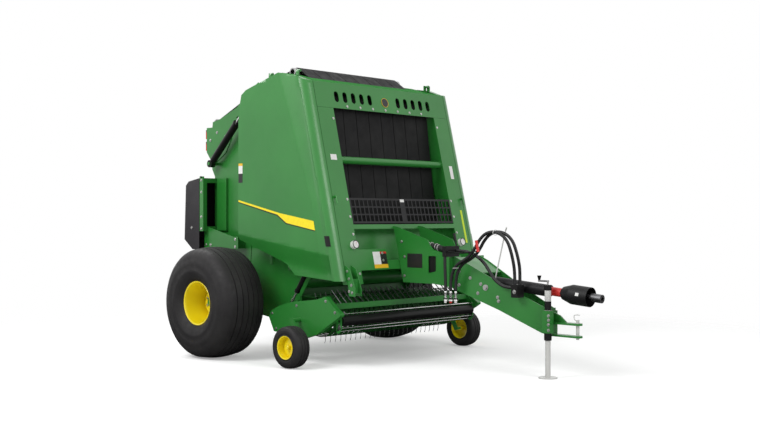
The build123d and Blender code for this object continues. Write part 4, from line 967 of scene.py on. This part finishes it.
sleeve = hose_sleeve()
for name, (width, route) in hose_routes.items():
    line = bpy.data.curves.new(name + "_line", "CURVE")
    line.dimensions = "3D"
    spline = line.splines.new("NURBS")
    spline.points.add(len(route) - 1)
    for cell, point in zip(spline.points, route):
        cell.co = (*in_metres(*point), 1.0)
    spline.order_u = 3
    spline.use_endpoint_u = True
    spline.resolution_u = 10
    bare = bpy.data.objects.new(name + "_bare", line.copy())
    scene.collection.objects.link(bare)
    middle = [vertex.co.copy() for vertex in as_mesh(bare).vertices]
    bpy.data.objects.remove(bare)
    reach = sum((b - a).length for a, b in zip(middle, middle[1:]))
    line.bevel_depth = width / 2
    line.bevel_resolution = 5
    line.use_fill_caps = True
    line.materials.append(sleeve)
    hose = add_piece(name + "_sleeve", line, "chassis")
    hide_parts(name)


# Hose rack: the clamp and the holder are black coated steel. A light grey guide rod stands up between
# the hoses, and a red lever reaches forward from the clamp. White ties gather the hoses.
dress_parts("hose_rack", (black_coat, bright_paint),
            lambda x, y, z: 1 if 2.74 < x < 2.94 and z > 0.87 else 0)
lever = [spot(2.325, -0.330, 1.120), spot(2.540, -0.335, 1.108), spot(2.722, -0.335, 1.135)]
rod_along("valve_lever_stem", lever, 0.006, black_coat)
rod_along("valve_lever_grip", [spot(2.722, -0.335, 1.125), spot(2.699, -0.335, 1.230)], 0.014, red_film, 16)
rod_along("tie_loop", hoop(spot(2.854, -0.248, 1.304), Vector((0, 0.037, 0)), Vector((0, 0, 0.025)), 20),
          0.0022, white_film)
rod_along("tie_bundle", hoop(spot(2.425, -0.300, 0.965), Vector((0, 0.039, 0)),
                             Vector((0.027, 0, 0.003)), 20), 0.0022, white_film)
trunk_bend = 2.01
tie_radius = 0.0315
for step, x in enumerate((1.94, 1.98, 2.05, 2.09)):
    past = max(0.0, x - trunk_bend)
    centre = spot(x, -0.135 - 0.29 * past, 1.165 - 0.24 * past)
    loop = hoop(centre, Vector((0, tie_radius, 0)), Vector((0, 0, tie_radius)), 16)
    rod_along(f"trunk_tie_{step}", loop, 0.0024, white_film)

# Net box lid: a vacuum-formed shell in dark grey plastic, with the wide round edges that such
# shells have. It hinges along its top edge.
lid_plastic = enamel("lid_plastic", (0.030, 0.028, 0.031), (0.024, 0.022, 0.025), 0.5, 0.0, 0.25)
rounded("net_cover", 0.030, 4, lid_plastic)

# Tail lamps: glossy red lenses that face back from black boxes, two on each side of the tailgate's
# beam.
lens = film("red_lens", (0.55, 0.02, 0.008), 0.15)
dress_parts("tail_lamps", (lens, black_coat), lambda x, y, z: 1 if x > -0.812 else 0)

# Pressure gauges: white dials in black rims, one on each post, with seven marks round the face and
# a red needle.
dial_radius = 0.038
mark_radius = 0.029
for side, word in both_sides:
    centre = on_front(side * 0.800, 1.175, 0.0402)
    rim = hoop(centre, across_front * dial_radius, up_front * dial_radius, 24)
    rod_along(f"dial_rim_{word}", rim, 0.0035, black_coat)
    needle = [centre + Vector((0, 0.002, 0)), centre + up_front * 0.026 + Vector((0, 0.010, 0))]
    rod_along(f"dial_needle_{word}", needle, 0.0012, red_film, 6)
    for step in range(7):
        turn = radians(-120 + 40 * step)
        mark = (across_front * sin(turn) + up_front * cos(turn)) * mark_radius
        rod_along(f"dial_mark_{word}_{step}", [centre + mark, centre + mark * 1.14], 0.0012,
                  charcoal_film, 6)
dress(white_film, "gauges")

# Wind guard: a painted bar carries two bright rods in front, a black roller and a comb of sprung
# steel tines that lean back over the reel.


rod_places = ((1.550, 0.517), (1.550, 0.383), (1.528, 0.352))


def guard_finish(x, y, z):
    if any(hypot(x - rod_x, z - rod_z) < 0.0095 for rod_x, rod_z in rod_places):
        return 1
    return 2 if z > 0.6145 and x < 1.468 else 0


# The comb of tines behind the bar takes the dark steel, which darkens it as painted shade under the guard.
dress_parts("windguard", (green, plated, dark_steel), guard_finish)
dress(black_coat, "windguard_roller")

# Pickup reel: five bars between discs carry sprung wire tines, coiled round the bar and swept back
# a little at the tip. One tree sets a tine on every seat.
reel_centre = spot(1.200, 0, 0.470)
reel_bars = 5
reel_bar_radius = 0.150
tines_on_bar = 25
tine_pitch = 0.070
coil_radius = 0.0155


def on_bar(index):
    """The turn of one bar of the reel and the place of its middle."""
    turn = radians(18 + index * 360 / reel_bars)
    return turn, reel_centre + Vector((reel_bar_radius * cos(turn), 0, -reel_bar_radius * sin(turn)))


def tine_wire():
    """One wire tine as a line: two coils round the bar, then a leg that reaches to the tip circle."""
    points = []
    for step in range(19):
        turn = 2 * pi * step / 9
        points.append((coil_radius * cos(turn), -0.020 + 0.0016 * step, coil_radius * sin(turn)))
    return points + [(0.035, 0.012, 0.004), (0.085, 0.012, 0.003), (0.117, 0.012, -0.008)]


def tine_tree():
    tree, given, made = new_tree("reel_tines", (
        ("Seats", "Geometry"), ("Wire", "Object"), ("Thickness", "Float"), ("Finish", "Material")), "Tines")
    wire = tree.nodes.new("GeometryNodeObjectInfo")
    line = tree.nodes.new("GeometryNodeMeshToCurve")
    ring = tree.nodes.new("GeometryNodeCurvePrimitiveCircle")
    ring.inputs["Resolution"].default_value = 5
    tube = tree.nodes.new("GeometryNodeCurveToMesh")
    tube.inputs["Fill Caps"].default_value = True
    tree.links.new(given["Wire"], wire.inputs["Object"])
    tree.links.new(wire.outputs["Geometry"], line.inputs["Mesh"])
    tree.links.new(given["Thickness"], ring.inputs["Radius"])
    tree.links.new(line.outputs["Curve"], tube.inputs["Curve"])
    tree.links.new(ring.outputs["Curve"], tube.inputs["Profile Curve"])
    set_copies(tree, given, made, tube.outputs["Mesh"], named_value(tree, "turn"))
    return tree


wire_steel = steel("tine_wire_steel", (0.26, 0.26, 0.26), 0.38)
wire_points = tine_wire()
wire_mesh = bpy.data.meshes.new("tine_wire")
wire_mesh.from_pydata(wire_points, [(k, k + 1) for k in range(len(wire_points) - 1)], [])
wire_object = bpy.data.objects.new("tine_wire", wire_mesh)
scene.collection.objects.link(wire_object)
places = []
turns = []
for index in range(reel_bars):
    turn, middle = on_bar(index)
    for step in range(tines_on_bar):
        y = (step - (tines_on_bar - 1) / 2) * tine_pitch - 0.012
        places.append((middle.x, y, middle.z))
        turns.append((0.0, turn, 0.0))
tine_seats = bpy.data.meshes.new("tine_seats")
tine_seats.from_pydata(places, [], [])
turn_cells = tine_seats.attributes.new("turn", "FLOAT_VECTOR", "POINT")
for cell, value in zip(turn_cells.data, turns):
    cell.vector = value
tines = run_tree(tine_tree(), "reel_tines", "reel", tine_seats, {
    "Wire": wire_object, "Thickness": 0.0029, "Finish": wire_steel})
bpy.data.objects.remove(wire_object)
smooth(tines.data)
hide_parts("tine_reel")


def reel_rod(name, radius, half, centre, finish, steps):
    profile = [(0.0, half), (radius, half), (radius, -half), (0.0, -half)]
    turned(name, profile, centre, 1, finish, "reel", (), steps, False)


reel_rod("reel_shaft", 0.022, 1.009, reel_centre, dark_steel, 32)
disc_profile = [(0.0221, 0.003), (0.162, 0.003), (0.164, 0.001), (0.164, -0.001), (0.162, -0.003),
                (0.0221, -0.003)]
for index, y in enumerate((-0.871, -0.297, 0.303, 0.871)):
    turned(f"reel_disc_{index}", disc_profile, reel_centre + Vector((0, y, 0)), 1, green, "reel", (), 64)
for index in range(reel_bars):
    reel_rod(f"reel_bar_{index}", 0.012, 0.868, on_bar(index)[1], green, 16)
